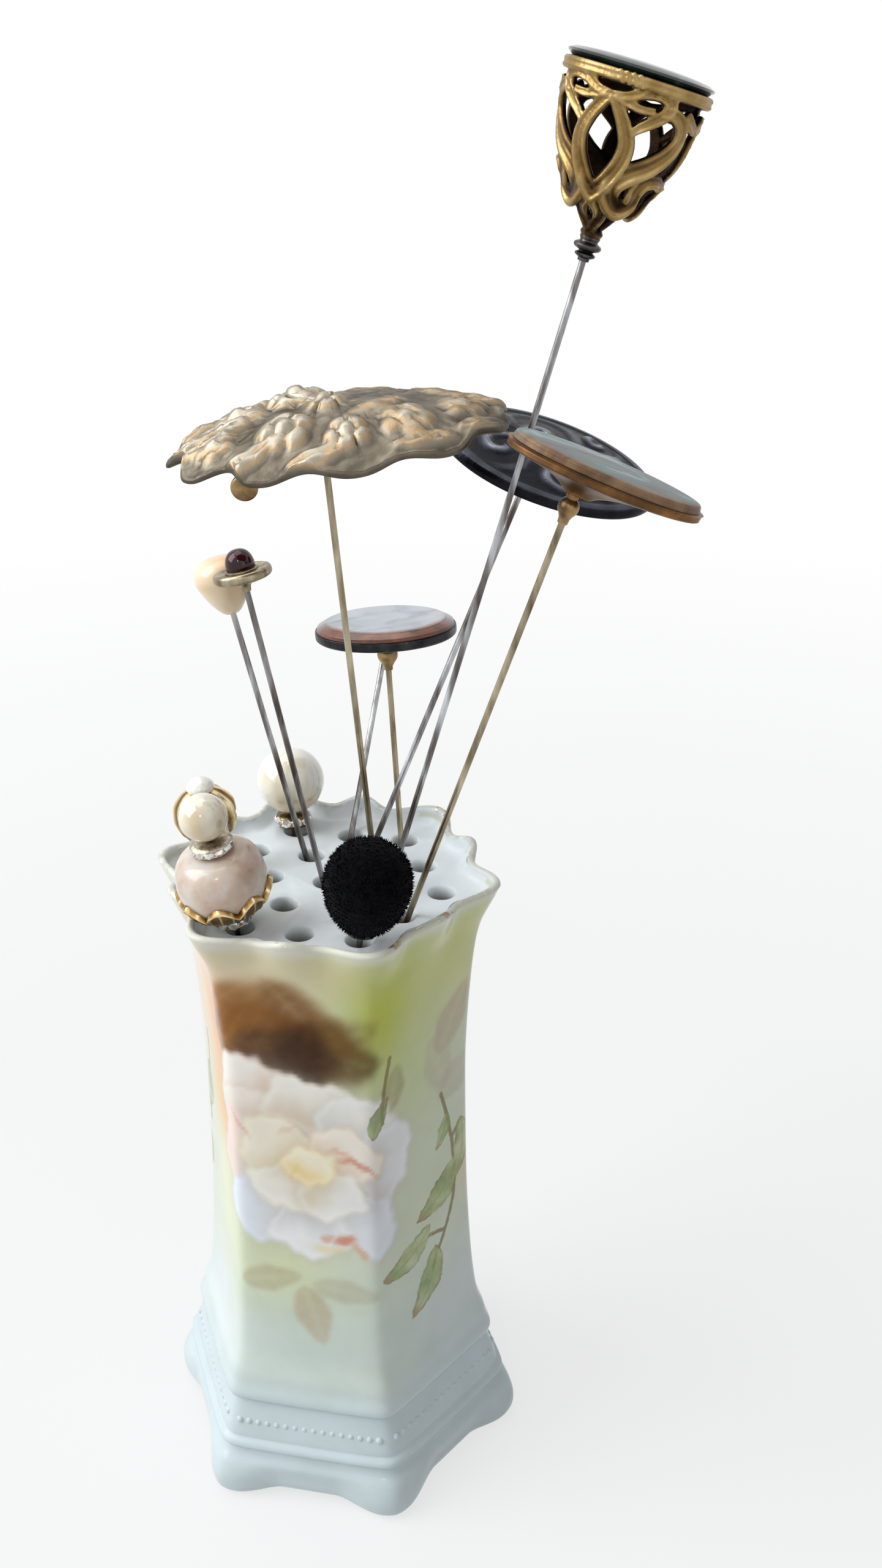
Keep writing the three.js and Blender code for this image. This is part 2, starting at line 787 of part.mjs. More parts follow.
const shellHalfLength = 14.2;
const shellHalfWidth = 9;
const shellBallRadius = 1.5;
const shellBackThickness = 4.2;
const shellPlateThickness = 1.2;
const shellOffset = 3;
const shellTipBack = -12.2;
const shellTipSide = 5.3;
const ovalHalfLength = 12.2;
const ovalHalfWidth = 9.5;
const ovalBallRadius = 1.8;
const ovalBackThickness = 3;
const ovalPlateThickness = 1;
const ovalTipBack = 10;
const ovalTipSide = 0.7;

// Outlines of the backs, as shares of their half sizes and thickness: a shallow cone, and a flat pan
// on a boss
const shellBackShares = [
  [0.14, 0], [0.3, 0.3], [0.55, 0.5], [0.85, 0.64], [0.99, 0.72], [1, 0.92], [0.98, 1], [0.3, 1],
];
const ovalBackShares = [
  [0.14, 0], [0.16, 0.3], [0.75, 0.34], [0.95, 0.42], [1, 0.58], [1, 0.9], [0.97, 1], [0.3, 1],
];

function makeShellPins() {
  const shell = makeShellPin('shell', {
    halfLength: shellHalfLength,
    halfWidth: shellHalfWidth,
    ballRadius: shellBallRadius,
    backThickness: shellBackThickness,
    plateThickness: shellPlateThickness,
    backShares: shellBackShares,
    offset: shellOffset,
    tipBack: shellTipBack,
    tipSide: shellTipSide,
  }, agedBrass);
  const middle = makeShellPin('oval', {
    halfLength: ovalHalfLength,
    halfWidth: ovalHalfWidth,
    ballRadius: ovalBallRadius,
    backThickness: ovalBackThickness,
    plateThickness: ovalPlateThickness,
    backShares: ovalBackShares,
    offset: 0,
    tipBack: ovalTipBack,
    tipSide: ovalTipSide,
  }, darkMetal);
  return [shell, middle];
}

// Second middle pin: a small bead
const secondBeadRadius = 2.6;

function makeSecondPin() {
  const { group, seat } = startPin('second', steel);
  const bead = makeBall(secondBeadRadius).translate(0, 0, seat);
  group.add(piece('second_bead', bead, agedBrass));
  return group;
}

// Garnet pin: a round stone on a shallow brass dish
const dishRadius = 4.7;
const dishHeight = 2.2;
const garnetRadius = 2.35;
const garnetHeight = 3.2;

function makeGarnetPin() {
  const { group, seat } = startPin('garnet', steel);
  const dish = revolve([
    [0, 0],
    [dishRadius * 0.18, 0],
    [dishRadius * 0.3, dishHeight * 0.25],
    [dishRadius * 0.85, dishHeight * 0.55],
    [dishRadius, dishHeight * 0.85],
    [dishRadius * 0.93, dishHeight],
    [0, dishHeight],
  ], 18).translate(0, 0, seat);
  group.add(piece('garnet_dish', dish, agedBrass));
  const stone = revolve([
    [0, 0],
    [garnetRadius, 0],
    [garnetRadius, garnetHeight * 0.35],
    [garnetRadius * 0.82, garnetHeight * 0.72],
    [garnetRadius * 0.45, garnetHeight * 0.95],
    [0, garnetHeight],
  ], 12).translate(0, 0, seat + dishHeight + seatGap);
  group.add(piece('garnet_stone', stone, garnet));
  return group;
}

// Cream pin: a pear-shaped bead, broad at the top
const creamRadius = 4.6;
const creamHeight = 9.4;

function makeCreamPin() {
  const { group, seat } = startPin('cream', steel);
  const profileShares = [
    [0, 0], [0.24, 0], [0.52, 0.16], [0.8, 0.38], [1, 0.64], [0.92, 0.82], [0.62, 0.95], [0, 1],
  ];
  const profile = profileShares.map(([radius, height]) => [creamRadius * radius, creamHeight * height]);
  group.add(piece('cream_bead', revolve(profile, 16).translate(0, 0, seat), cream));
  return group;
}

// A ring that is threaded on the shank, with a rounded outer edge
function makeRondelle(radius, height, segments) {
  const bore = shankRadius + seatGap;
  return revolve([
    [bore, 0],
    [radius * 0.86, 0],
    [radius, height * 0.3],
    [radius, height * 0.7],
    [radius * 0.86, height],
    [bore, height],
    [bore, 0],
  ], segments);
}

// Large pearl pin
const largePearlRadius = 6;
const pearlRondelleHeight = 2.3;

function makePearlPin() {
  const { group, seat, foot } = startPin('pearl', steel, pearlRondelleHeight);
  const rondelle = makeRondelle(pearlRondelleRadius, pearlRondelleHeight, 14);
  group.add(piece('pearl_rondelle', rondelle.translate(0, 0, foot), gilt));
  const bead = new THREE.SphereGeometry(largePearlRadius, 16, 10).rotateX(90 * degree);
  group.add(piece('pearl_bead', bead.translate(0, 0, seat + largePearlRadius), pearl));
  return group;
}

// Stacked bead pin: rondelle, petal cap, frosted bead, rondelle and pearl, all on one shank
const lowerRondelleHeight = 2.2;
const capMetal = 0.6;
const capClearance = 0.65;
const petalCount = 8;
const petalTipShare = 0.42;
const petalValleyShare = 0.2;
const pinkRadius = 7.2;
const pinkHeight = 10.6;
const upperRondelleRadius = 3.4;
const upperRondelleHeight = 1.9;
const smallPearlRadius = 3.8;

// Outline of the pink bead, as shares of its radius and height
const pinkShares = [[0.45, 0], [0.78, 0.1], [0.97, 0.32], [1, 0.55], [0.92, 0.8], [0.72, 0.96], [0.45, 1]];

function pinkRadiusAt(heightShare) {
  const above = Math.max(1, pinkShares.findIndex(([, height]) => height >= heightShare));
  const [low, high] = [pinkShares[above - 1], pinkShares[above]];
  const part = (heightShare - low[1]) / (high[1] - low[1]);
  return pinkRadius * (low[0] + (high[0] - low[0]) * part);
}

function makePinkBead() {
  const bore = shankRadius + seatGap;
  const outer = pinkShares.map(([radius, height]) => [pinkRadius * radius, pinkHeight * height]);
  return revolve([[bore, 0], ...outer, [bore, pinkHeight], [bore, 0]], 18);
}

// A thin cup of petals that hugs the pink bead from below
function makeCap() {
  const segments = 4 * petalCount;
  const flatRing = (radius, height) => {
    const points = [];
    for (let i = 0; i < segments; i++) points.push(polar(radius, (360 * i) / segments, height));
    return points;
  };
  const petalRing = (climb, outset) => {
    const points = [];
    for (let i = 0; i < segments; i++) {
      const petal = Math.abs(Math.cos((180 * degree * petalCount * i) / segments));
      const share = climb * (petalValleyShare + (petalTipShare - petalValleyShare) * petal);
      const radius = pinkRadiusAt(share) + capClearance + outset;
      points.push(polar(radius, (360 * i) / segments, capMetal + seatGap + pinkHeight * share - outset / 2));
    }
    return points;
  };
  const base = pinkRadiusAt(0);
  const cup = toSolid(skin([
    flatRing(base, 0),
    petalRing(0.35, capMetal),
    petalRing(1, capMetal),
    petalRing(1, 0),
    petalRing(0.35, 0),
    flatRing(base, capMetal),
  ]));
  const bore = shankRadius + seatGap;
  const drill = new THREE.CylinderGeometry(bore, bore, cutOverrun, 8).rotateX(90 * degree);
  return toGeometry(cup.subtract(toSolid(drill)));
}

function makeStackPin() {
  const capSeat = lowerRondelleHeight + seatGap;
  const pinkSeat = capSeat + capMetal + seatGap;
  const upperSeat = pinkSeat + pinkHeight + seatGap;
  const { group, seat, foot } = startPin('stack', steel, upperSeat + upperRondelleHeight);
  const lower = makeRondelle(stackRondelleRadius, lowerRondelleHeight, 14);
  group.add(piece('stack_lower_rondelle', lower.translate(0, 0, foot), crystal));
  group.add(piece('stack_cap', makeCap().translate(0, 0, foot + capSeat), gilt));
  group.add(piece('stack_bead', makePinkBead().translate(0, 0, foot + pinkSeat), frostedPink));
  const upper = makeRondelle(upperRondelleRadius, upperRondelleHeight, 14);
  group.add(piece('stack_upper_rondelle', upper.translate(0, 0, foot + upperSeat), crystal));
  const bead = new THREE.SphereGeometry(smallPearlRadius, 14, 8).rotateX(90 * degree);
  group.add(piece('stack_pearl', bead.translate(0, 0, seat + smallPearlRadius), pearl));
  return group;
}

// Gold swirl pin: a striped bead with a white tip, over a dark rondelle
const swirlRadius = 5.1;
const swirlHeight = 9.6;
const swirlRondelleRadius = 2.8;
const swirlRondelleHeight = 1.6;
const swirlTipRadius = 1.7;

function makeSwirlPin() {
  const { group, seat } = startPin('swirl', steel);
  const rondelle = revolve([
    [0, 0],
    [swirlRondelleRadius * 0.86, 0],
    [swirlRondelleRadius, swirlRondelleHeight / 2],
    [swirlRondelleRadius * 0.86, swirlRondelleHeight],
    [0, swirlRondelleHeight],
  ], 16).translate(0, 0, seat);
  group.add(piece('swirl_rondelle', rondelle, darkMetal));
  const beadSeat = seat + swirlRondelleHeight + seatGap;
  const profileShares = [
    [0, 0], [0.45, 0], [0.82, 0.16], [1, 0.42], [0.96, 0.66], [0.7, 0.88], [0.35, 0.98], [0, 1],
  ];
  const profile = profileShares.map(([radius, height]) => [swirlRadius * radius, swirlHeight * height]);
  group.add(piece('swirl_bead', revolve(profile, 16).translate(0, 0, beadSeat), gilt));
  const tip = makeBall(swirlTipRadius).translate(0, 0, beadSeat + swirlHeight + seatGap);
  group.add(piece('swirl_tip', tip, pearl));
  return group;
}

// Black velvet pin: a covered ball, flat below, on a small cup
const velvetRadius = 7;
const velvetHeight = 15.4;
const velvetCupRadius = 2.9;
const velvetCupHeight = 0.9;

function makeVelvetPin() {
  const { group, seat } = startPin('velvet', steel);
  const cup = revolve([
    [0, 0],
    [velvetCupRadius * 0.8, 0],
    [velvetCupRadius, velvetCupHeight],
    [0, velvetCupHeight],
  ], 16).translate(0, 0, seat);
  group.add(piece('velvet_cup', cup, darkMetal));
  const profileShares = [
    [0, 0], [0.42, 0], [0.66, 0.1], [0.88, 0.27], [1, 0.5], [0.95, 0.7], [0.74, 0.88], [0.4, 0.98], [0, 1],
  ];
  const profile = profileShares.map(([radius, height]) => [velvetRadius * radius, velvetHeight * height]);
  const ball = revolve(profile, 16).translate(0, 0, seat + velvetCupHeight + seatGap);
  group.add(piece('velvet_ball', ball, velvet));
  return group;
}

const hatpinHolder = new THREE.Group();
hatpinHolder.add(piece('porcelain_holder', makeHolder(), porcelain));
hatpinHolder.add(makeFiligreePin());
hatpinHolder.add(makeBlossomPin());
hatpinHolder.add(makeDiscPin());
hatpinHolder.add(...makeShellPins());
hatpinHolder.add(makeSecondPin());
hatpinHolder.add(makeGarnetPin());
hatpinHolder.add(makeCreamPin());
hatpinHolder.add(makePearlPin());
hatpinHolder.add(makeStackPin());
hatpinHolder.add(makeSwirlPin());
hatpinHolder.add(makeVelvetPin());

export default hatpinHolder;
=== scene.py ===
# Hatpin holder: a six-sided porcelain vase with a pierced top, and twelve hatpins standing in it
import json
import math
import random

import bpy
import numpy as np
from mathutils import Matrix, Vector


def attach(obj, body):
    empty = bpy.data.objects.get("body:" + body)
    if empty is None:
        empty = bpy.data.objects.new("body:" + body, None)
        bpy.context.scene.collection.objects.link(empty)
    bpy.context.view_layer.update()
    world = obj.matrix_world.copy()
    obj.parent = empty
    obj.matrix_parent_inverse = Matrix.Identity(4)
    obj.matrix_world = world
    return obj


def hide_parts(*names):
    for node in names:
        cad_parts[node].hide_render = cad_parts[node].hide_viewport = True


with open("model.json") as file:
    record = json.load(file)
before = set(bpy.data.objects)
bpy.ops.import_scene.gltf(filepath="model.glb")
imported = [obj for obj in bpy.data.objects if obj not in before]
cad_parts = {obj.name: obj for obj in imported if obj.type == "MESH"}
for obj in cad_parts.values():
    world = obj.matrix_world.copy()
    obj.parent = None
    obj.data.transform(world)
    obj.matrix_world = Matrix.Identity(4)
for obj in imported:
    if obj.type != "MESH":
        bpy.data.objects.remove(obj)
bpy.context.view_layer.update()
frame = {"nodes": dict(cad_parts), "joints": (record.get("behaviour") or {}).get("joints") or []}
fullTurn = 2 * math.pi
print("frame loaded:", len(frame["nodes"]), "nodes")

# Camera, at the height and slant that the pins were seen from
camera = {
    "place": (-0.055851, -0.220943, 0.244330),
    "right": (0.94490730, -0.32733299, -0.00181851),
    "up": (0.14399741, 0.41067333, 0.90034003),
    "back": (-0.29396418, -0.85099973, 0.43518333),
    "lens": 35.27,
    "sensor": 36,
}
bpy.ops.object.camera_add(location=camera["place"])
cameraObject = bpy.context.object
turn = Matrix((camera["right"], camera["up"], camera["back"])).transposed()
cameraObject.rotation_mode = "QUATERNION"
cameraObject.rotation_quaternion = turn.to_quaternion()
cameraObject.data.lens = camera["lens"]
cameraObject.data.sensor_width = camera["sensor"]
cameraObject.data.clip_start = 0.01
bpy.context.scene.camera = cameraObject
bpy.context.scene.view_settings.view_transform = "Standard"

# Light: a tall window on the left, a weak one in front, and a pale room
light = {
    "window": {"place": (-1.3, 0.2, 1.1), "size": (1.3, 1.4), "power": 27, "colour": (0.95, 0.98, 1)},
    "fill": {"place": (0.5, -1.35, 0.75), "size": (0.9, 1.1), "power": 1.5, "colour": (1, 0.97, 0.92)},
    "top": {"place": (-0.2, 0.4, 1.7), "size": (1.2, 1.2), "power": 9, "colour": (1, 1, 1)},
    "glint": {"place": (-0.55, -1.1, 0.95), "size": (0.1, 0.16), "power": 1.4, "colour": (1, 0.95, 0.88)},
    "aim": (0, 0, 0.11),
    "room": (0.3, 0.31, 0.33),
}
for name in ("window", "fill", "top", "glint"):
    lamp = light[name]
    bpy.ops.object.light_add(type="AREA", location=lamp["place"])
    lampObject = bpy.context.object
    lampObject.name = name
    lampObject.data.shape = "RECTANGLE"
    lampObject.data.size, lampObject.data.size_y = lamp["size"]
    lampObject.data.energy = lamp["power"]
    lampObject.data.color = lamp["colour"]
    away = Vector(lamp["place"]) - Vector(light["aim"])
    lampObject.rotation_euler = away.to_track_quat("Z", "Y").to_euler()


# Shader nodes
def addNode(tree, kind, inputs=None, **settings):
    made = tree.nodes.new("ShaderNode" + kind)
    for name, value in settings.items():
        setattr(made, name, value)
    for name, value in (inputs or {}).items():
        socket = made.inputs[name]
        if isinstance(value, bpy.types.NodeSocket):
            tree.links.new(value, socket)
        else:
            socket.default_value = value
    return made


def addRamp(tree, factor, stops):
    made = addNode(tree, "ValToRGB", {"Fac": factor})
    points = made.color_ramp.elements
    while len(points) < len(stops):
        points.new(0.5)
    for point, (at, colour) in zip(points, stops):
        point.position = at
        point.color = (*colour, 1) if len(colour) == 3 else colour
    return made.outputs["Color"]


def addNoise(tree, scale, detail=4, stretch=(1, 1, 1), distortion=0.0, centre=(0, 0, 0)):
    where = addNode(tree, "TexCoord").outputs["Object"]
    moved = addNode(tree, "Mapping", {"Vector": where, "Location": centre, "Scale": stretch})
    noise = addNode(tree, "TexNoise", {
        "Vector": moved.outputs["Vector"], "Scale": scale, "Detail": detail, "Distortion": distortion,
    })
    return noise.outputs["Fac"]


def addMix(tree, factor, first, second, kind="MIX"):
    made = addNode(tree, "Mix", data_type="RGBA", blend_type=kind)
    for index, value in ((0, factor), (6, first), (7, second)):
        if isinstance(value, bpy.types.NodeSocket):
            tree.links.new(value, made.inputs[index])
        elif index == 0:
            made.inputs[index].default_value = value
        else:
            made.inputs[index].default_value = (*value, 1)
    return made.outputs[2]


def addMath(tree, operation, first, second=0.0):
    made = addNode(tree, "Math", {0: first, 1: second}, operation=operation)
    return made.outputs["Value"]


def addBump(tree, height, strength, distance):
    made = addNode(tree, "Bump", {"Height": height, "Strength": strength, "Distance": distance})
    return made.outputs["Normal"]


def stored(tree, name):
    return addNode(tree, "Attribute", attribute_name=name).outputs["Fac"]


def ranged(tree, value, low, high, first, last):
    inputs = {"Value": value, "From Min": low, "From Max": high, "To Min": first, "To Max": last}
    return addNode(tree, "MapRange", inputs).outputs["Result"]


socketNames = {
    "IorLevel": "Specular IOR Level", "Coat": "Coat Weight", "CoatRough": "Coat Roughness", "Ior": "IOR",
    "Sheen": "Sheen Weight", "SheenRough": "Sheen Roughness", "Transmission": "Transmission Weight",
    "Subsurface": "Subsurface Weight", "SubsurfaceScale": "Subsurface Scale",
}


def startMaterial(name, **sockets):
    material = bpy.data.materials.new(name)
    material.use_nodes = True
    shader = material.node_tree.nodes["Principled BSDF"]
    for socket, value in sockets.items():
        shader.inputs[socketNames.get(socket, socket)].default_value = value
    return material, material.node_tree, shader


def mottled(name, scale, detail, stops, **sockets):
    # A colour that wanders softly between its stops
    material, tree, shader = startMaterial(name, **sockets)
    tree.links.new(addRamp(tree, addNoise(tree, scale, detail), stops), shader.inputs["Base Color"])
    return material


metalLook = {"raised": 0.62, "patches": 0.42, "fineness": 6, "depth": 0.0002}


def metal(name, stops, scale, rough=(0.25, 0.45), bump=0.15, stretch=(1, 1, 1), relief=False, metallic=1.0):
    # A worn metal with fine tooling marks, its colours by patch, and by the piece's own relief where it has one
    material, tree, shader = startMaterial(name, Metallic=metallic)
    patches = addNoise(tree, scale, 5, stretch)
    if relief:
        raised = addMath(tree, "MULTIPLY", stored(tree, "relief"), metalLook["raised"])
        patches = addMath(tree, "ADD", raised, addMath(tree, "MULTIPLY", patches, metalLook["patches"]))
    tree.links.new(addRamp(tree, patches, stops), shader.inputs["Base Color"])
    fine = addNoise(tree, scale * metalLook["fineness"], 6, stretch)
    tree.links.new(ranged(tree, fine, 0, 1, *rough), shader.inputs["Roughness"])
    tree.links.new(addBump(tree, fine, bump, metalLook["depth"]), shader.inputs["Normal"])
    return material


# Making pieces: all are modelled in millimetres, then put in place in metres
def clearSelection():
    if bpy.context.object and bpy.context.object.mode != "OBJECT":
        bpy.ops.object.mode_set(mode="OBJECT")
    bpy.ops.object.select_all(action="DESELECT")


def makeActive(piece):
    clearSelection()
    piece.select_set(True)
    bpy.context.view_layer.objects.active = piece


def weld(distance=0.0005):
    bpy.ops.object.mode_set(mode="EDIT")
    bpy.ops.mesh.select_all(action="SELECT")
    bpy.ops.mesh.remove_doubles(threshold=distance)
    bpy.ops.mesh.normals_make_consistent(inside=False)
    bpy.ops.object.mode_set(mode="OBJECT")


def smoothLine(points, steps):
    ends = [np.array(p, float) for p in (points[0], *points, points[-1])]
    line = []
    for i in range(len(points) - 1):
        a, b, c, d = ends[i:i + 4]
        for step in range(steps):
            t = step / steps
            line.append(0.5 * (2 * b + (c - a) * t + (2 * a - 5 * b + 4 * c - d) * t**2
                               + (3 * b - a - 3 * c + d) * t**3))
    line.append(ends[-1])
    return np.array(line)


def turned(name, profile, segments=40, steps=1):
    # A profile of (radius, height) points, spun about Z
    points = smoothLine(profile, steps)
    points[:, 0] = np.maximum(points[:, 0], 0)
    clearSelection()
    bpy.ops.mesh.primitive_plane_add(size=1)
    bpy.ops.object.mode_set(mode="EDIT")
    bpy.ops.mesh.merge(type="CENTER")
    bpy.ops.transform.translate(value=(points[0][0], 0, points[0][1]))
    for before, after in zip(points, points[1:]):
        step = (after[0] - before[0], 0, after[1] - before[1])
        bpy.ops.mesh.extrude_region_move(TRANSFORM_OT_translate={"value": step})
    bpy.ops.mesh.select_all(action="SELECT")
    bpy.ops.mesh.spin(steps=segments, angle=fullTurn, center=(0, 0, 0), axis=(0, 0, 1))
    bpy.ops.object.mode_set(mode="OBJECT")
    weld()
    piece = bpy.context.object
    piece.name = name
    return piece


def wrapped(name, across, along, wrap, distance=0.0005):
    # A grid wrapped into a form: wrap gives x, y and z from two arrays of shares, 0 to 1
    clearSelection()
    bpy.ops.mesh.primitive_grid_add(x_subdivisions=across, y_subdivisions=along, size=2)
    piece = bpy.context.object
    piece.name = name
    flat = meshPoints(piece)
    placed = wrap((flat[:, 0] + 1) / 2, (flat[:, 1] + 1) / 2)
    setPoints(piece, np.column_stack(placed))
    weld(distance)
    return piece


def meshPoints(piece):
    points = np.empty(len(piece.data.vertices) * 3)
    piece.data.vertices.foreach_get("co", points)
    return points.reshape(-1, 3)


def setPoints(piece, points):
    piece.data.vertices.foreach_set("co", np.ascontiguousarray(points, float).ravel())
    piece.data.update()


def joined(name, parts):
    clearSelection()
    for part in parts:
        part.select_set(True)
    bpy.context.view_layer.objects.active = parts[0]
    bpy.ops.object.join()
    parts[0].name = name
    return parts[0]


def withModifier(piece, kind, **settings):
    makeActive(piece)
    modifier = piece.modifiers.new(kind.lower(), kind)
    for name, value in settings.items():
        setattr(modifier, name, value)
    bpy.ops.object.modifier_apply(modifier=modifier.name)
    return piece


def completed(piece, place, material, body, nodes=(), angle=40):
    piece.data.transform(place)
    piece.data.name = piece.name
    makeActive(piece)
    bpy.ops.object.shade_smooth_by_angle(angle=math.radians(angle))
    piece.data.materials.clear()
    piece.data.materials.append(material)
    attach(piece, body)
    if nodes:
        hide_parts(*nodes)
    return piece


def copied(piece, matrix):
    twin = piece.copy()
    twin.data = piece.data.copy()
    twin.data.transform(matrix)
    bpy.context.collection.objects.link(twin)
    return twin


def smoothstep(low, high, value):
    t = np.clip((value - low) / (high - low), 0, 1)
    return t * t * (3 - 2 * t)


def storeValues(piece, name, values):
    piece.data.attributes.new(name, "FLOAT", "POINT").data.foreach_set("value", values)


def upBy(height):
    return Matrix.Translation((0, 0, height))


def turnedBy(angle, axis):
    return Matrix.Rotation(math.radians(angle), 4, axis)


toMetres = Matrix.Scale(0.001, 4)

# Floor
floorLook = {"size": 6, "colour": (0.64, 0.67), "grain": 3, "whiteness": (0.7, 1.0), "reach": (0.16, 0.6)}
clearSelection()
bpy.ops.mesh.primitive_plane_add(size=floorLook["size"])
floor = bpy.context.object
floor.name = "floor"
floorTones = [(at, (tone, tone, tone)) for at, tone in zip((0.3, 0.7), floorLook["colour"])]
floorMaterial = mottled("paleFloor", floorLook["grain"], 4, floorTones, Roughness=0.9, IorLevel=0.1)
floorTree = floorMaterial.node_tree


def seenDirectly(tree):
    path = addNode(tree, "LightPath")
    seen = addMath(tree, "MAXIMUM", path.outputs["Is Camera Ray"], path.outputs["Is Glossy Ray"])
    return addMath(tree, "MAXIMUM", seen, path.outputs["Is Transmission Ray"])


# The floor turns white away from the object, where only the camera and reflections see it
away = addNode(floorTree, "VectorMath", {0: addNode(floorTree, "TexCoord").outputs["Object"]},
               operation="LENGTH")
whitening = ranged(floorTree, away.outputs["Value"], *floorLook["reach"], *floorLook["whiteness"])
glow = addNode(floorTree, "Emission", {"Color": (1, 1, 1, 1), "Strength": 1.0})
mixed = addNode(floorTree, "MixShader", {
    0: addMath(floorTree, "MULTIPLY", whitening, seenDirectly(floorTree)),
    1: floorTree.nodes["Principled BSDF"].outputs["BSDF"], 2: glow.outputs["Emission"],
})
floorTree.links.new(mixed.outputs["Shader"], floorTree.nodes["Material Output"].inputs["Surface"])
floor.data.materials.append(floorMaterial)

world = bpy.data.worlds.new("room")
bpy.context.scene.world = world
world.use_nodes = True
roomTree = world.node_tree
roomColour = addMix(roomTree, seenDirectly(roomTree), light["room"], (1, 1, 1))
roomTree.links.new(roomColour, roomTree.nodes["Background"].inputs["Color"])
print("camera and light set")


# Holder
holder = {
    "height": 120, "footTop": 10.1, "plateDrop": 3.7, "plateThickness": 3.1, "wall": 2.6, "floorTop": 4.5,
    "fillet": 2.2, "filletSteps": 7, "lipThickness": 1.5, "lipRound": 0.7, "lipSteps": 6, "rimCorner": 29.3,
    "recess": 1.25, "padWidth": 4.2, "padRound": 0.5, "arch": 1.2, "sidePull": 1.9, "toe": (4, 20),
    "softness": 3,
    # rows under the foot: level, and how far inside the pads
    "padRows": [(1.25, 1.2), (1.25, 0.3), (0.75, 0), (0.1, -0.3), (0, -0.8)],
    # scalloped rim: angles from a corner, radii and how far each dips
    "notch": 18, "scallopDepth": 12, "tip": 29.7, "notchRadius": 25.4, "lobe": 26.8, "tipDrop": 0.7,
    "notchDrop": 1.3, "pitch": 9.9, "hole": 2.1, "mouth": 0.55, "mouthSteps": 6, "drill": (-6, 3),
    "around": 384, "rowHeight": 0.65, "hollowAround": 72, "hollowCorner": 30.8,
    "hollowShares": (0.1, 0.16, 0.2, 0.3, 0.5, 0.7, 0.8, 0.88, 0.95),
    "beadsPerSide": 16, "beadRadius": 0.78, "beadSink": 0.58, "beadLevel": 15.8, "beadRow": 0.94,
    # corner radius by height
    "foot": [(0.6, 32.9), (1.0, 33.5), (2.0, 33.9), (3.6, 34.0), (5.4, 33.7), (7.5, 32.8), (9.0, 31.4),
             (10.1, 30.8)],
    "band": [(10.5, 31.0), (11.0, 31.6), (11.9, 31.4), (12.5, 30.5), (13.2, 30.35), (15.6, 29.7), (19.1, 28.4),
             (20.1, 28.0)],
    "body": [(20.7, 28.9), (21.6, 29.15), (22.6, 28.9), (24, 28.3), (26.1, 27.8), (29.1, 26.65), (33.3, 25.9),
             (41.7, 25.1), (57.3, 24.3), (80, 23.95), (89.6, 24.15), (98, 24.65), (105.6, 25.35), (111.2, 26.3),
             (114.8, 27.5), (117.6, 28.6), (119.3, 29.2)],
}
plateTop = holder["height"] - holder["plateDrop"]


def fromCorner(angle):
    within = (angle + 90) % 60
    return np.minimum(within, 60 - within)


def hexagonRadius(angle, cornerRadius):
    soft = np.hypot(fromCorner(angle), holder["softness"])
    apothem = cornerRadius * math.cos(math.radians(30 - holder["softness"]))
    return apothem / np.cos(np.radians(30 - soft))


def scallop(angle, atTip, atNotch, atLobe):
    away = fromCorner(angle)
    notch = holder["notch"]
    outer = atNotch + (atTip - atNotch) * (1 + np.cos(np.pi * away / notch)) / 2
    inner = atNotch + (atLobe - atNotch) * (1 - np.cos(np.pi * (away - notch) / (30 - notch))) / 2
    return np.where(away < notch, outer, inner)


def outsideRadius(angle, level, cornerRadius):
    foot = 1 - smoothstep(holder["footTop"] / 3, holder["footTop"], level)
    rim = smoothstep(holder["height"] - holder["scallopDepth"], holder["height"], level)
    waved = scallop(angle, holder["tip"], holder["notchRadius"], holder["lobe"])
    pull = holder["sidePull"] * foot * smoothstep(*holder["toe"], fromCorner(angle))
    return hexagonRadius(angle, cornerRadius) - pull + rim * (waved - hexagonRadius(angle, holder["rimCorner"]))


def outsideHeight(angle, level):
    foot = holder["arch"] * smoothstep(*holder["toe"], fromCorner(angle))
    foot = foot * (1 - smoothstep(0, holder["footTop"], level))
    rim = scallop(angle, holder["tipDrop"], holder["notchDrop"], 0)
    return level + foot - rim * smoothstep(holder["height"] - holder["scallopDepth"], holder["height"], level)


def holderRows():
    # Rows from the middle of the underside, out, up, over the lip and in: (kind, level, corner radius, inset)
    bottom = holder["foot"][0][1]
    rows = [("under", holder["recess"], bottom, None)]
    rows += [("under", level, bottom, holder["padWidth"] + inset) for level, inset in holder["padRows"]]
    rows.append(("under", 0, bottom, holder["padRound"]))
    for zone, steps in (("foot", 3), ("band", 3), ("body", 10)):
        levels, radii = smoothLine(holder[zone], steps).T
        if zone == "body":
            even = np.arange(levels[0], levels[-1], holder["rowHeight"])
            levels, radii = even, np.interp(even, levels, radii)
        rows += [("side", level, cornerRadius, 0) for level, cornerRadius in zip(levels, radii)]
    lip = holder["lipThickness"] / 2
    top = holder["height"] - holder["lipRound"]
    for step in range(holder["lipSteps"] + 1):
        turnBy = math.pi * step / holder["lipSteps"]
        level = top + holder["lipRound"] * math.sin(turnBy)
        rows.append(("lip", level, holder["rimCorner"], lip * (1 - math.cos(turnBy))))
    fillet = holder["fillet"]
    for step in range(holder["filletSteps"] + 1):
        turnBy = math.pi / 2 * step / holder["filletSteps"]
        rows.append(("inner", plateTop + fillet * (1 - math.sin(turnBy)), 0, fillet * (1 - math.cos(turnBy))))
    return rows


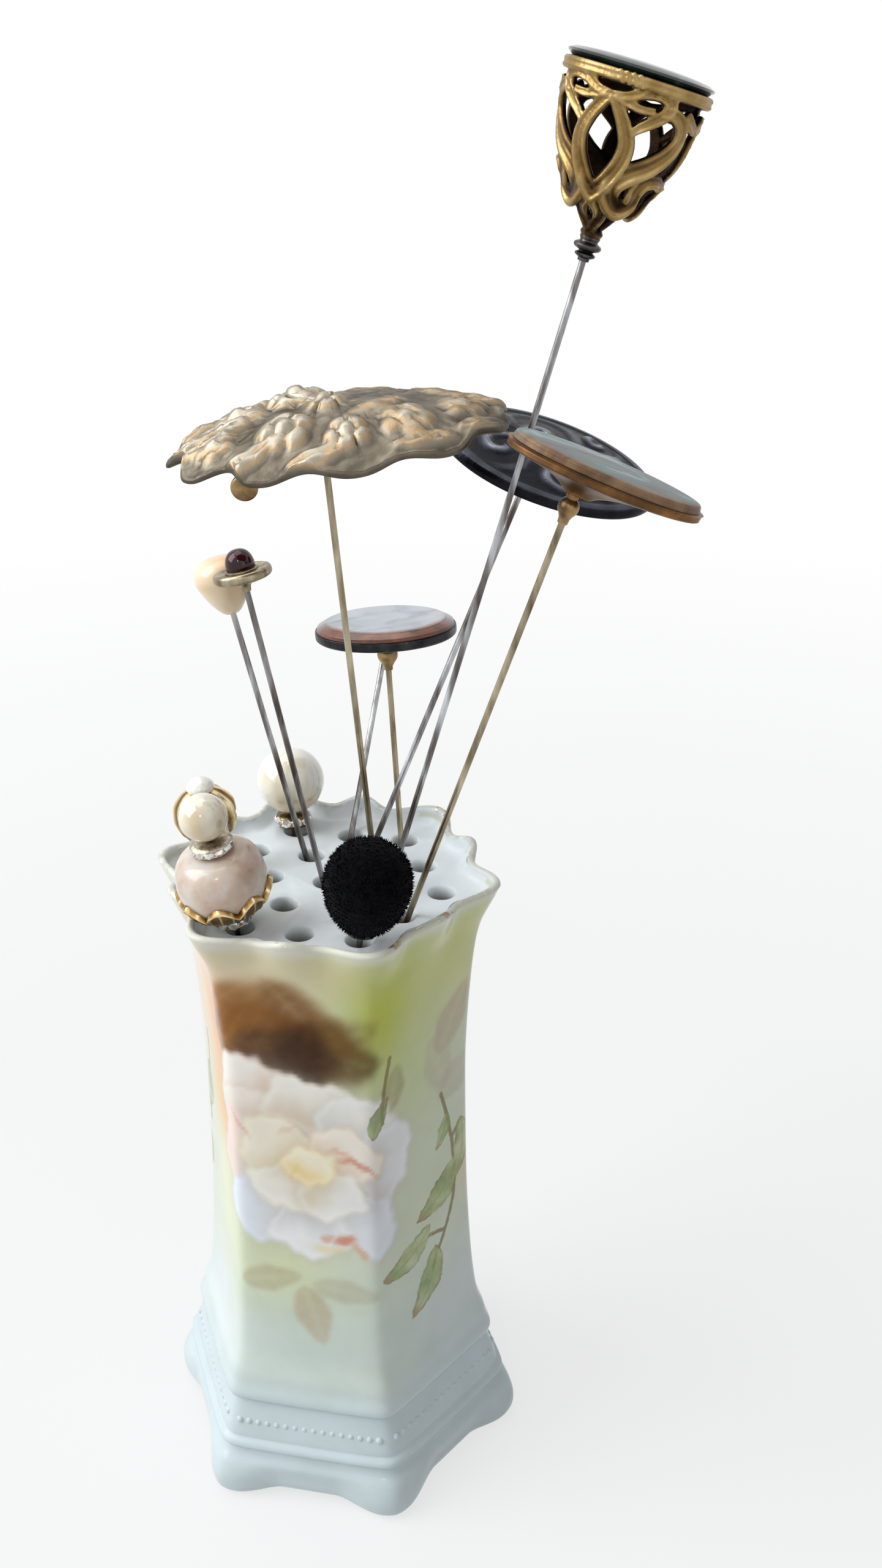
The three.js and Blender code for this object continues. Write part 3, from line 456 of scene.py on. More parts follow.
def holderPoint(angle, kind, level, cornerRadius, inset):
    if kind == "under":
        radius = outsideRadius(angle, 0, cornerRadius) - inset if inset is not None else 0 * angle
        share = 1 if level < holder["recess"] else 0
        return radius, level + share * outsideHeight(angle, 0)
    if kind == "side":
        return outsideRadius(angle, level, cornerRadius), outsideHeight(angle, level)
    outer = outsideRadius(angle, holder["height"], holder["rimCorner"])
    if kind == "lip":
        drop = scallop(angle, holder["tipDrop"], holder["notchDrop"], 0)
        return outer - inset, level - drop
    return outer - holder["lipThickness"] - inset, level + 0 * angle


def makeShell(name, around, rows, pointOf):
    # Rings of points from rows, the first and last drawn together to a pole
    def wrap(acrossShare, alongShare):
        angles = -90 + 360 * acrossShare
        index = np.rint(alongShare * (len(rows) - 1)).astype(int)
        radius, height = np.zeros_like(angles), np.zeros_like(angles)
        for row in range(len(rows)):
            here = index == row
            radius[here], height[here] = pointOf(angles[here], *rows[row])
        swing = np.radians(angles)
        return radius * np.cos(swing), radius * np.sin(swing), height
    return wrapped(name, around, len(rows) - 1, wrap)


def fillTop(piece):
    # Closes the open edge with one flat face
    makeActive(piece)
    bpy.ops.object.mode_set(mode="EDIT")
    bpy.ops.mesh.select_all(action="DESELECT")
    bpy.ops.mesh.select_mode(type="VERT")
    bpy.ops.mesh.select_non_manifold()
    bpy.ops.mesh.edge_face_add()
    bpy.ops.mesh.select_all(action="SELECT")
    bpy.ops.mesh.normals_make_consistent(inside=False)
    bpy.ops.object.mode_set(mode="OBJECT")


def hollowRows():
    # The inside: (level, corner radius, inset), with rounded edges below and above
    under, low = plateTop - holder["plateThickness"], holder["floorTop"]
    insets = [(low, holder["fillet"]), (low + 0.6, 0.7), (low + holder["fillet"], 0), (holder["footTop"], 0)]
    rows = [(level, holder["hollowCorner"], inset) for level, inset in insets]
    levels, radii = zip(*(holder["band"] + holder["body"]))
    for share in holder["hollowShares"]:
        level = holder["footTop"] + (under - holder["footTop"]) * share
        rows.append((level, float(np.interp(level, levels, radii)), 0))
    last = float(np.interp(under, levels, radii))
    return rows + [(under - 0.5, last, 0.3), (under, last, holder["wall"] / 2)]


def hollowPoint(angle, level, cornerRadius, inset):
    return hexagonRadius(angle, cornerRadius - holder["wall"]) - inset, level + 0 * angle


def holeCentres():
    centres = [(0, 0)]
    for corner in range(6):
        start = math.radians(-90 + 60 * corner)
        for share, turnBy in ((1, 0), (2, 0), (math.sqrt(3), math.pi / 6)):
            reach = holder["pitch"] * share
            centres.append((reach * math.cos(start + turnBy), reach * math.sin(start + turnBy)))
    return centres


def makeHolder():
    body = makeShell("porcelainHolder", holder["around"], holderRows(), holderPoint)
    fillTop(body)
    hollow = makeShell("hollow", holder["hollowAround"], hollowRows(), hollowPoint)
    fillTop(hollow)
    radius, mouth = holder["hole"], holder["mouth"]
    bottom, top = plateTop + holder["drill"][0], plateTop + holder["drill"][1]
    profile = [(0, bottom), (radius, bottom), (radius, plateTop - 2 * mouth)]
    for step in range(1, holder["mouthSteps"] + 1):
        turnBy = math.pi / 2 * step / holder["mouthSteps"]
        profile.append((radius + mouth * (1 - math.cos(turnBy)), plateTop - 2 * mouth * (1 - math.sin(turnBy))))
    profile += [(radius + mouth, top), (0, top)]
    drill = turned("drill", profile, 32)
    drills = [copied(drill, Matrix.Translation((x, y, 0))) for x, y in holeCentres()]
    bpy.data.objects.remove(drill)
    cutters = joined("drills", drills)
    for cutter in (hollow, cutters):
        withModifier(body, "BOOLEAN", operation="DIFFERENCE", object=cutter, solver="EXACT")
        bpy.data.objects.remove(cutter)
    withModifier(body, "WEIGHTED_NORMAL", keep_sharp=True)
    return body


# Painted decoration, on the sides unrolled: along from the middle of the front side, and up, in mm
decoration = {
    "side": 24, "round": 144, "feather": 0.8, "wander": 0.7,
    # inside is painted shade: the brown that the holes and the hollow darken to below the plate, over the two
    # depths given next to it
    "ground": (208, 216, 200), "plate": (234, 240, 243), "inside": (128, 114, 92), "holeFade": (3.4, 0.7),
    "base": (203, 215, 218), "baseFade": (20, 30), "rim": (228, 228, 222), "rimFade": (115.5, 119),
    "rimCover": 0.7,
    # what is left of the gilding: middle angle and reach of each stretch, and the share kept between them
    "gilt": [(-141, 9), (-112, 4), (-84, 7), (-58, 5), (24, 9), (92, 5)], "giltLeast": 0.25,
    "giltFade": (-0.9, -0.2), "giltColour": (126, 92, 58), "stemColour": (132, 116, 70),
    "leafTip": (176, 110, 74), "leafEdge": (132, 92, 48), "leafVein": (150, 128, 78),
    "leafGreens": [(0.32, (124, 146, 84)), (0.5, (158, 176, 116)), (0.68, (196, 202, 160))],
    # washes: along, up, reach along, reach up, strength, colour
    "washes": [
        (0, 34, 18, 13, 0.8, (198, 212, 204)), (30, 34, 16, 15, 0.9, (208, 216, 218)),
        (-24, 30, 14, 12, 0.9, (222, 230, 232)), (24, 60, 12, 20, 0.6, (206, 214, 184)),
        (-19, 62, 7, 16, 0.8, (228, 234, 186)), (-4, 50, 9, 9, 0.6, (216, 222, 168)),
        (0, 114, 15, 11, 0.95, (220, 208, 172)), (-24, 108, 9, 10, 0.9, (232, 228, 218)),
        (30, 108, 12, 13, 0.9, (204, 208, 124)), (15, 104, 8.5, 17, 1.0, (186, 192, 66)),
        (24, 90, 9, 14, 0.6, (198, 208, 146)), (-17.5, 96, 9, 16, 1.0, (234, 146, 18)),
        (-25, 98, 7, 13, 0.5, (242, 202, 134)), (-18, 80, 7, 9, 0.9, (238, 178, 80)),
        (37, 62, 4, 9, 0.7, (232, 200, 162)), (52, 100, 20, 16, 0.7, (222, 212, 184)),
        (60, 64, 18, 20, 0.6, (226, 224, 196)), (84, 96, 16, 18, 0.85, (206, 210, 150)),
        (108, 96, 12, 16, 0.6, (228, 210, 184)), (96, 56, 16, 18, 0.6, (222, 228, 212)),
        (84, 32, 24, 12, 0.8, (206, 216, 222)),
    ],
    # the leaf cloud: along, up, half length, half width, turn, strength, colour
    "cloud": [
        (-3, 101, 12.5, 9.5, -14, 0.75, (166, 112, 34)), (-6, 98, 10.5, 8, 6, 0.8, (128, 76, 12)),
        (4.5, 97, 9, 6.6, -14, 0.8, (100, 66, 16)), (-6.5, 104, 8, 4.2, -30, 0.55, (138, 84, 16)),
        (0.5, 104, 8, 3.8, -56, 0.65, (112, 68, 14)), (7.5, 100.5, 6, 3.6, 26, 0.6, (114, 82, 26)),
        (-8.5, 93, 6.5, 4.2, 24, 0.85, (112, 62, 8)), (0.5, 94, 9, 5.2, 78, 0.9, (58, 28, 2)),
        (8.5, 94.5, 5.5, 4.2, 8, 0.7, (100, 72, 22)), (-1.5, 96, 9, 5, -8, 0.7, (56, 26, 0)),
    ],
    # soft three-part shadow leaves: along, up, half length, half width, turn, strength, colour
    "shadows": [
        (-6.5, 47.5, 5.6, 2.7, 14, 0.7, (186, 178, 142)), (6.6, 46.5, 6.0, 2.5, -8, 0.6, (186, 180, 152)),
        (0.8, 40.5, 6.4, 3.0, -76, 0.7, (190, 172, 140)), (31, 95, 7, 3.6, 62, 0.6, (188, 166, 150)),
        (27.5, 87, 6.5, 3.2, 110, 0.45, (188, 176, 158)), (33, 82, 6, 3.4, 30, 0.45, (192, 176, 164)),
        (16.8, 88, 4.6, 2.6, 78, 0.75, (158, 156, 108)), (-30, 60, 6, 3, 60, 0.35, (210, 200, 176)),
        (66, 46, 6, 3, -60, 0.5, (196, 190, 162)), (58, 50, 5.4, 2.6, 20, 0.45, (198, 194, 168)),
        (92, 82, 7, 3.6, 40, 0.4, (198, 186, 160)),
    ],
    # roses: along, up, size, mirrored
    "roses": [(0.4, 70, 1.13, 1), (76, 72, 0.85, -1)],
    # their petals, from the back: along, up, half width, half height, turn, outer colour, inner colour
    "petals": [
        (-9.4, 16.2, 6.6, 4.8, 38, (244, 238, 230), (232, 196, 174)),
        (-9.2, 11.6, 5.6, 4.4, 8, (240, 232, 222), (230, 206, 190)),
        (0.5, 14.0, 7.2, 4.6, -6, (240, 236, 226), (222, 206, 186)),
        (8.6, 10.6, 7.0, 5.2, -30, (238, 236, 230), (214, 212, 206)),
        (12.6, 3.4, 5.0, 7.4, 6, (232, 232, 232), (214, 210, 210)),
        (-10.4, 3.0, 4.6, 8.0, 10, (238, 216, 204), (232, 226, 220)),
        (-6.6, -5.8, 6.6, 6.2, 34, (224, 230, 238), (214, 216, 220)),
        (7.6, -7.4, 7.4, 5.6, -24, (228, 232, 238), (206, 210, 216)),
        (0.4, -9.8, 6.6, 4.6, 4, (236, 236, 236), (212, 214, 216)),
        (-4.6, 5.2, 5.6, 6.0, 28, (238, 230, 212), (232, 212, 178)),
        (5.4, 4.6, 6.0, 5.2, -24, (240, 232, 220), (230, 198, 164)),
        (-3.2, -1.8, 5.2, 4.4, -14, (240, 236, 226), (226, 216, 190)),
        (3.4, -2.6, 5.4, 4.2, 16, (236, 234, 230), (220, 210, 186)),
        (0.6, 2.6, 4.0, 3.4, 0, (240, 232, 206), (236, 210, 150)),
    ],
    # brush strokes on them: along, up, half length, half width, turn, strength, colour
    "strokes": [
        (8.0, 3.6, 4.6, 0.75, -16, 0.75, (206, 128, 96)), (5.0, 5.4, 3.0, 0.5, -24, 0.5, (216, 150, 118)),
        (-10.2, 9.2, 3.2, 0.6, -52, 0.5, (220, 158, 130)), (5.6, -11.0, 2.2, 1.5, 10, 0.8, (206, 120, 82)),
        (3.2, -10.2, 1.4, 1.0, 30, 0.6, (214, 140, 90)), (2.6, -12.6, 3.4, 1.3, -10, 0.5, (226, 206, 128)),
        (7.4, -12.8, 1.7, 1.1, -40, 0.6, (216, 150, 84)), (-2.6, 8.6, 3.4, 0.5, 30, 0.4, (214, 186, 150)),
        (-1.6, 0.4, 2.8, 0.45, 64, 0.35, (222, 190, 140)), (10.6, -1.6, 3.4, 0.5, 70, 0.35, (206, 196, 200)),
    ],
    # green leaves: along, up, half length, half width, turn
    "leaves": [
        (28.2, 58.5, 6.8, 3.0, -144), (34.4, 65.5, 6.4, 2.5, -98), (19.6, 49.4, 6.6, 2.6, -158),
        (24.4, 41.0, 7.0, 2.8, -120), (29.2, 71.5, 3.6, 1.5, -116), (13.2, 83.5, 4.2, 1.7, 66),
        (70.0, 52, 6.4, 2.6, -120), (78.5, 46, 6.0, 2.4, -84), (86.5, 56, 6.0, 2.3, -40),
        (92.0, 76, 6.4, 2.4, 24), (62.0, 80, 5.6, 2.2, 140), (-30.5, 74, 6.0, 2.3, -100),
        (-34.0, 60, 5.4, 2.1, -70),
    ],
    # stems: points of each
    "stems": [
        [(28.6, 80), (30.2, 74), (31.6, 66), (31.6, 57), (29, 50), (26.6, 46), (25, 43)],
        [(31.4, 69), (33.4, 71)], [(31.8, 61), (31, 60)], [(28.4, 50), (25, 51), (22.6, 50.4)],
        [(16.0, 95), (14.6, 88), (14.2, 82)], [(76, 62), (75, 54), (77, 48)], [(-29, 88), (-30, 78), (-32, 66)],
    ],
}


def screenColour(colour):
    # From 0 to 255 on a screen to linear light
    share = np.array(colour) / 255
    return np.where(share <= 0.04045, share / 12.92, ((share + 0.055) / 1.055) ** 2.4)


def unrolled(x, y):
    angle = np.degrees(np.arctan2(y, x))
    side = np.floor((angle + 150) / 60)
    within = np.radians(angle - (side * 60 - 120))
    along = decoration["side"] * (side + np.tan(within) / (2 * math.tan(math.radians(30))))
    return (along + 36) % decoration["round"] - 36


def alongFrom(along, at):
    half = decoration["round"] / 2
    return (along - at + half) % decoration["round"] - half


def turnedTo(along, up, at, height, turn):
    c, d = math.cos(math.radians(turn)), math.sin(math.radians(turn))
    across, rise = alongFrom(along, at), up - height
    return across * c + rise * d, rise * c - across * d


def brushed(colour, cover, fresh):
    cover = np.clip(cover, 0, 1)[:, None]
    return colour * (1 - cover) + screenColour(fresh) * cover


def leafInside(forward, sideways, halfLength, halfWidth):
    # Distance inside a pointed leaf with softly toothed edges
    share = np.clip(forward / halfLength, -1, 1)
    room = halfWidth * (1 - share ** 2) ** 0.75 * (1 - 0.25 * share) * (1 + 0.06 * np.cos(7 * share))
    beyond = np.maximum(np.abs(forward) - halfLength, 0)
    return room - np.abs(sideways) - beyond


def paintLeaf(colour, along, up, leaf, feather=1.2):
    at, height, halfLength, halfWidth, turnBy, strength, fresh = leaf
    forward, sideways = turnedTo(along, up, at, height, turnBy)
    inside = leafInside(forward, sideways, halfLength, halfWidth)
    sideVeins = np.exp(-(np.sin(1.1 * forward - 0.8 * np.abs(sideways)) / 0.5) ** 2)
    vein = np.exp(-(sideways / 0.7) ** 2) + 0.5 * sideVeins
    cover = smoothstep(-feather, feather, inside) * (1 - 0.25 * np.clip(vein, 0, 1))
    return brushed(colour, strength * cover, fresh)


def paintRose(colour, along, up, rose):
    atAlong, atUp, size, mirrored = rose
    sway = decoration["wander"]
    along, up = (along + sway * np.sin(0.55 * up + 0.5 * np.sin(0.6 * along)) + 0.3 * sway * np.sin(1.9 * up),
                 up + sway * np.sin(0.6 * along + 0.4 * np.sin(0.5 * up)) + 0.3 * sway * np.sin(2.1 * along))
    for across, rise, halfWidth, halfHeight, turnBy, outer, inner in decoration["petals"]:
        x, y = turnedTo(along, up, atAlong + mirrored * across * size, atUp + rise * size, mirrored * turnBy)
        x, y = x / (halfWidth * size), y / (halfHeight * size)
        around = np.arctan2(y, x)
        share = np.hypot(x, y) / (1 + 0.06 * np.cos(3 * around + across) + 0.04 * np.cos(5 * around + rise))
        inside = (1 - share) * min(halfWidth, halfHeight) * size
        shade = 0.24 * np.exp(-np.maximum(-inside, 0) / 1.4) * (inside < 0.8)
        colour = brushed(colour, shade, (190, 172, 150))
        tilt = math.atan2(rise, across * mirrored + 1e-6) - math.radians(mirrored * turnBy)
        outward = 0.5 + 0.55 * (x * math.cos(tilt) + y * math.sin(tilt))
        cover = smoothstep(-decoration["feather"], decoration["feather"], inside)
        colour = brushed(colour, cover, inner)
        colour = brushed(colour, cover * smoothstep(0.1, 0.75, outward), outer)
        colour = brushed(colour, cover * 0.4 * np.exp(-((inside - 0.6) / 0.6) ** 2),
                         tuple(min(c + 10, 250) for c in outer))
    for across, rise, halfLength, halfWidth, turnBy, strength, fresh in decoration["strokes"]:
        x, y = turnedTo(along, up, atAlong + mirrored * across * size, atUp + rise * size, mirrored * turnBy)
        share = np.hypot(x / (halfLength * size), (y + 0.03 * x ** 2) / (halfWidth * size))
        colour = brushed(colour, strength * (1 - smoothstep(0.35, 1.1, share)), fresh)
    return colour


def foliage(along, up):
    # Distance inside the green leaves, and how far along and across its own leaf a point is
    inside, forwards, across = np.full(len(along), -9.0), np.zeros(len(along)), np.zeros(len(along))
    for at, height, halfLength, halfWidth, turnBy in decoration["leaves"]:
        forward, sideways = turnedTo(along, up, at, height, turnBy)
        sideways = sideways + 0.035 * forward ** 2
        here = leafInside(forward, sideways, halfLength, halfWidth)
        nearer = here > inside
        inside = np.where(nearer, here, inside)
        forwards = np.where(nearer, forward / halfLength, forwards)
        across = np.where(nearer, sideways, across)
    stem = np.full(len(along), 9.0)
    for points in decoration["stems"]:
        for a, b in zip(smoothLine(points, 6), smoothLine(points, 6)[1:]):
            run = b - a
            x, y = alongFrom(along, a[0]), up - a[1]
            share = np.clip((x * run[0] + y * run[1]) / (run @ run), 0, 1)
            stem = np.minimum(stem, np.hypot(x - share * run[0], y - share * run[1]))
    return inside, forwards, across, stem


def paintSurface(piece):
    x, y, z = meshPoints(piece).T
    angle, radius, along = np.degrees(np.arctan2(y, x)), np.hypot(x, y), unrolled(x, y)
    colour = np.tile(screenColour(decoration["ground"]), (len(x), 1))
    for at, height, reach, rise, strength, fresh in decoration["washes"]:
        spread = (alongFrom(along, at) / reach) ** 2 + ((z - height) / rise) ** 2
        colour = brushed(colour, strength * np.exp(-spread), fresh)
    for leaf in decoration["shadows"]:
        colour = paintLeaf(colour, along, z, leaf, 0.8)
    for leaf in decoration["cloud"]:
        colour = paintLeaf(colour, along, z, leaf, 2.2)
    for rose in decoration["roses"]:
        colour = paintRose(colour, along, z, rose)
    colour = brushed(colour, 1 - smoothstep(*decoration["baseFade"], z), decoration["base"])
    colour = brushed(colour, smoothstep(*decoration["rimFade"], z) * decoration["rimCover"], decoration["rim"])
    zones = holder["foot"] + holder["band"] + holder["body"]
    outer = outsideRadius(angle, z, np.interp(z, *zip(*zones)))
    inner = (radius < outer - 1.0) & (z > holder["recess"] + 0.1)
    colour[inner] = screenColour(decoration["plate"])
    # Painted shade: darker down the holes and in the hollow, from the plate colour to the inside brown
    deep, shallow = decoration["holeFade"]
    colour = brushed(colour, (1 - smoothstep(plateTop - deep, plateTop - shallow, z)) * inner,
                     decoration["inside"])
    store = piece.data.attributes.new("paint", "FLOAT_COLOR", "POINT")
    store.data.foreach_set("color", np.column_stack((colour, np.ones(len(x)))).ravel())
    edge = holder["height"] - scallop(angle, holder["tipDrop"], holder["notchDrop"], 0)
    values = dict(zip(("leafInside", "leafForward", "leafAcross", "stemAway"), foliage(along, z)))
    values["leafInside"] = np.where(inner, -9, values["leafInside"])
    values["stemAway"] = np.where(inner, 9, values["stemAway"])
    kept = decoration["giltLeast"] + 0 * angle
    for middle, reach in decoration["gilt"]:
        kept = np.maximum(kept, np.exp(-(((angle - middle + 180) % 360 - 180) / reach) ** 2))
    values["gilding"] = smoothstep(*decoration["giltFade"], z - edge) * kept
    for name, value in values.items():
        storeValues(piece, name, value)


def makePorcelain():
    material, tree, shader = startMaterial("paintedPorcelain", Roughness=0.14, IorLevel=0.13, Coat=0.1,
                                           CoatRough=0.05)

    def tinted(colour, share, name):
        return addMix(tree, share, colour, screenColour(decoration[name]))
    painted = addNode(tree, "Attribute", attribute_name="paint").outputs["Color"]
    mottle = addRamp(tree, addNoise(tree, 160, 6), [(0.3, (0.93, 0.94, 0.92)), (0.7, (1, 1, 1))])
    colour = addMix(tree, 1.0, painted, mottle, "MULTIPLY")
    ragged = ranged(tree, addNoise(tree, 900, 3), 0.3, 0.7, -0.22, 0.22)
    # stems, then leaves with a brown edge, a pale vein and a warm tip
    away = addMath(tree, "ADD", stored(tree, "stemAway"), addMath(tree, "MULTIPLY", ragged, 0.4))
    colour = tinted(colour, ranged(tree, away, 0.3, 0.52, 0.85, 0), "stemColour")
    inside = addMath(tree, "ADD", stored(tree, "leafInside"), ragged)
    greens = [(at, screenColour(green)) for at, green in decoration["leafGreens"]]
    leaf = tinted(addRamp(tree, addNoise(tree, 190, 4), greens),
                  ranged(tree, stored(tree, "leafForward"), 0.55, 1.0, 0, 0.85),
                  "leafTip")
    patches = ranged(tree, addNoise(tree, 240, 3, centre=(3, 1, 2)), 0.42, 0.58, 0.1, 0.85)
    leaf = tinted(leaf, addMath(tree, "MULTIPLY", ranged(tree, inside, 0.1, 0.75, 1, 0), patches), "leafEdge")
    across = addMath(tree, "ABSOLUTE", stored(tree, "leafAcross"))
    leaf = tinted(leaf, ranged(tree, across, 0.08, 0.26, 0.55, 0), "leafVein")
    colour = addMix(tree, ranged(tree, inside, -0.1, 0.14, 0, 0.85), colour, leaf)
    # worn gilding on the lip
    worn = ranged(tree, addNoise(tree, 70, 2), 0.44, 0.5, 0, 1)
    patchy = addMath(tree, "MULTIPLY", worn, ranged(tree, addNoise(tree, 600, 5), 0.44, 0.56, 0, 0.9))
    gilt = addMath(tree, "MULTIPLY", stored(tree, "gilding"), patchy)
    tree.links.new(tinted(colour, gilt, "giltColour"), shader.inputs["Base Color"])
    tree.links.new(addMath(tree, "MULTIPLY", gilt, 0.6), shader.inputs["Metallic"])
    tree.links.new(addBump(tree, addNoise(tree, 180, 2), 0.06, 0.0004), shader.inputs["Normal"])
    return material


def makeBeads():
    # A row of low beads round the band
    clearSelection()
    bpy.ops.mesh.primitive_ico_sphere_add(subdivisions=2, radius=holder["beadRadius"])
    bead = bpy.context.object
    beads = []
    level = holder["beadLevel"]
    corner = float(np.interp(level, *zip(*holder["band"])))
    reach = corner * math.cos(math.radians(30 - holder["softness"])) - holder["beadSink"]
    pitch = holder["beadRow"] * 2 * reach * math.tan(math.radians(30)) / holder["beadsPerSide"]
    for side in range(6):
        for place in range(holder["beadsPerSide"]):
            across = (place + 0.5 - holder["beadsPerSide"] / 2) * pitch
            beads.append(copied(bead, turnedBy(60 * side, "Z") @ Matrix.Translation((reach, across, level))))
    bpy.data.objects.remove(bead)
    return joined("bandBeads", beads)


porcelain = makePorcelain()
body = makeHolder()
paintSurface(body)
completed(body, toMetres, porcelain, "holder", ["porcelain_holder"], 35)
beads = makeBeads()
paintSurface(beads)
completed(beads, toMetres, porcelain, "holder", angle=80)
print("holder made:", len(body.data.polygons), "faces")


# Pins: each has its own frame, with its origin at the top of the shank's bare length
pins = {
    "headTurn": -19, "threaded": {"pearl": 2.3, "stack": 16.2}, "brass": ("oval", "shell", "blossom"),
    "shank": 0.5, "point": 12, "tip": (0.1, 0.06), "ring": -8, "gap": 0.3, "endSlice": 2e-5,
    # the point: share of its length, share of the radius
    "taper": [(0.5, 0.62), (0.9, 0.94), (1.2, 1)],
}
gap = pins["gap"]  # between neighbouring parts of a pin, in mm
axes = {joint["name"].removesuffix("_lift"): Vector(joint["axis"]) for joint in frame["joints"]}


def pinFrame(pin):
    axis = axes[pin]
    points = {tuple(round(c, 7) for c in v.co) for v in frame["nodes"][pin + "_shank"].data.vertices}
    points = [Vector(point) for point in points]
    top = max(point.dot(axis) for point in points)
    end = [point for point in points if point.dot(axis) > top - pins["endSlice"]]
    length = top - min(point.dot(axis) for point in points)
    threaded = pins["threaded"].get(pin, 0)
    centre = sum(end, Vector()) / len(end) - axis * threaded / 1000
    turnTo = Vector((0, 0, 1)).rotation_difference(axis).to_matrix().to_4x4()
    place = Matrix.Translation(centre) @ turnTo @ turnedBy(pins["headTurn"], "Z")
    return place @ toMetres, length * 1000 - threaded, threaded


pinPlaces = {pin: pinFrame(pin) for pin in axes}


def finishPin(piece, pin, part, material, place=None, angle=40):
    # part ends the name of the node that the piece replaces, and is None where it replaces none
    place = pinPlaces[pin][0] @ (place or Matrix.Identity(4))
    completed(piece, place, material, pin + "_pin", [pin + "_" + part] if part else [], angle)


def finishTurned(pin, part, profile, material, height=0.0, segments=36, steps=1):
    name = pin + "".join(word.capitalize() for word in part.split("_"))
    finishPin(turned(name, profile, segments, steps), pin, part, material, upBy(height))


steel = metal("drawnSteel", [
    (0.36, (0.08, 0.065, 0.06)), (0.48, (0.2, 0.185, 0.18)), (0.6, (0.38, 0.385, 0.4)),
    (0.75, (0.6, 0.62, 0.66)),
], 420, (0.22, 0.42), 0.15, (1, 1, 0.16))
brassWire = metal("brassWire", [
    (0.34, (0.13, 0.1, 0.06)), (0.5, (0.3, 0.25, 0.165)), (0.66, (0.48, 0.42, 0.3)), (0.8, (0.64, 0.58, 0.46)),
], 420, (0.25, 0.45), 0.15, (1, 1, 0.2))
for pin, (place, length, threaded) in pinPlaces.items():
    radius, point, (tipRadius, tipLength) = pins["shank"], pins["point"], pins["tip"]
    profile = [(0, -length), (tipRadius, -length + tipLength)]
    profile += [(radius * width, point * along - length) for along, width in pins["taper"]]
    profile += [(radius, pins["ring"]), (radius, threaded), (0, threaded)]
    wire, slotName = (brassWire, "aged_brass") if pin in pins["brass"] else (steel, "steel")
    finishTurned(pin, "shank", profile, wire, segments=20)
print("shanks made")

# Filigree pin
filigree = {
    "collar": [(0, -0.4), (0.8, -0.4), (0.85, 0), (1.35, 0.25), (1.5, 0.6), (1.05, 0.85), (1.1, 1.0),
               (1.75, 1.25), (2, 1.6), (1.85, 1.95), (1.35, 2.2), (1.3, 2.45), (1.45, 2.75), (1.3, 3.1),
               (0, 3.1)],
    "stone": [(0, -0.4), (9.3, -0.4), (9.8, 0), (10.2, 0.3), (10.25, 0.6), (9.4, 1.0), (7, 1.28), (3.5, 1.45),
              (0, 1.5)],
    "foot": [(0, -0.35), (1.2, -0.35), (1.7, 0.5), (1.3, 1.1), (0, 1.1)],
    "top": 10.3, "height": 21, "band": 1.6, "ribbonStart": 0.55, "cageSeat": 3.3, "stoneSeat": 24.6,
    "halfWidth": 1.0, "halfDepth": 0.62, "voxel": 0.19, "facing": (-113, 67),
    # radius of the bell by height, as shares
    "bell": [(0, 0.16), (0.1, 0.3), (0.2, 0.52), (0.33, 0.68), (0.5, 0.8), (0.66, 0.89), (0.85, 0.97), (1, 1)],
    # section of the band: beyond its radius, share of its height from the top
    "bandSection": [(-1.4, 1), (-0.1, 1), (0.2, 0.75), (-0.05, 0.5), (0.2, 0.25), (-0.1, 0), (-1.4, 0),
                    (-1.4, 1)],
    # ribbons of one quarter: rows of (angle from the middle of the motif, share of the height), width and
    # how far the ends taper
    "ribbons": [
        {"rows": [(0, 0.89), (6, 0.83), (16, 0.72), (23, 0.6), (22, 0.48), (14, 0.36), (2, 0.27), (-12, 0.21),
                  (-20, 0.15), (-20, 0.09), (-6, 0.02)],
         "width": 1.3, "taper": 0.45},
        {"rows": [(-2, 0.885), (12, 0.895), (24, 0.945), (37, 0.965), (47, 0.93), (46, 0.86), (37, 0.79),
                  (29, 0.735), (24, 0.69)],
         "width": 1.05, "taper": 0.4},
        {"rows": [(2, 0.88), (12, 0.862), (24, 0.845), (37, 0.855)], "width": 0.6, "taper": 0.8},
        {"rows": [(41, 0.86), (53, 0.87), (65, 0.82), (71, 0.72), (65, 0.61), (51, 0.51), (34, 0.43),
                  (23, 0.35), (25, 0.26), (42, 0.2), (56, 0.25), (53, 0.34), (60, 0.42), (76, 0.44),
                  (90, 0.41)],
         "width": 1.6, "taper": 0.45},
        {"rows": [(66, 0.9), (78, 0.84), (90, 0.81)], "width": 0.8, "taper": 0.8},
        {"rows": [(8, 0.885), (20, 0.93), (26, 0.99)], "width": 0.6, "taper": 0.8},
    ],
    # slanting ribs on the band
    "nicks": {"angles": (4, 9, 14, 19), "radius": 0.24, "length": 1.15, "proud": 0.12, "slant": 28},
}


def bellRadius(share):
    return filigree["top"] * np.interp(share, *zip(*filigree["bell"]))


def cagePoint(angle, share, inset):
    bottom = filigree["ribbonStart"]
    radius, swing = bellRadius(share) - inset, np.radians(angle)
    height = bottom + share * (filigree["height"] - filigree["band"] / 2 - bottom)
    return np.column_stack((radius * np.cos(swing), radius * np.sin(swing), height))


def unit(vectors):
    return vectors / np.linalg.norm(vectors, axis=1, keepdims=True)


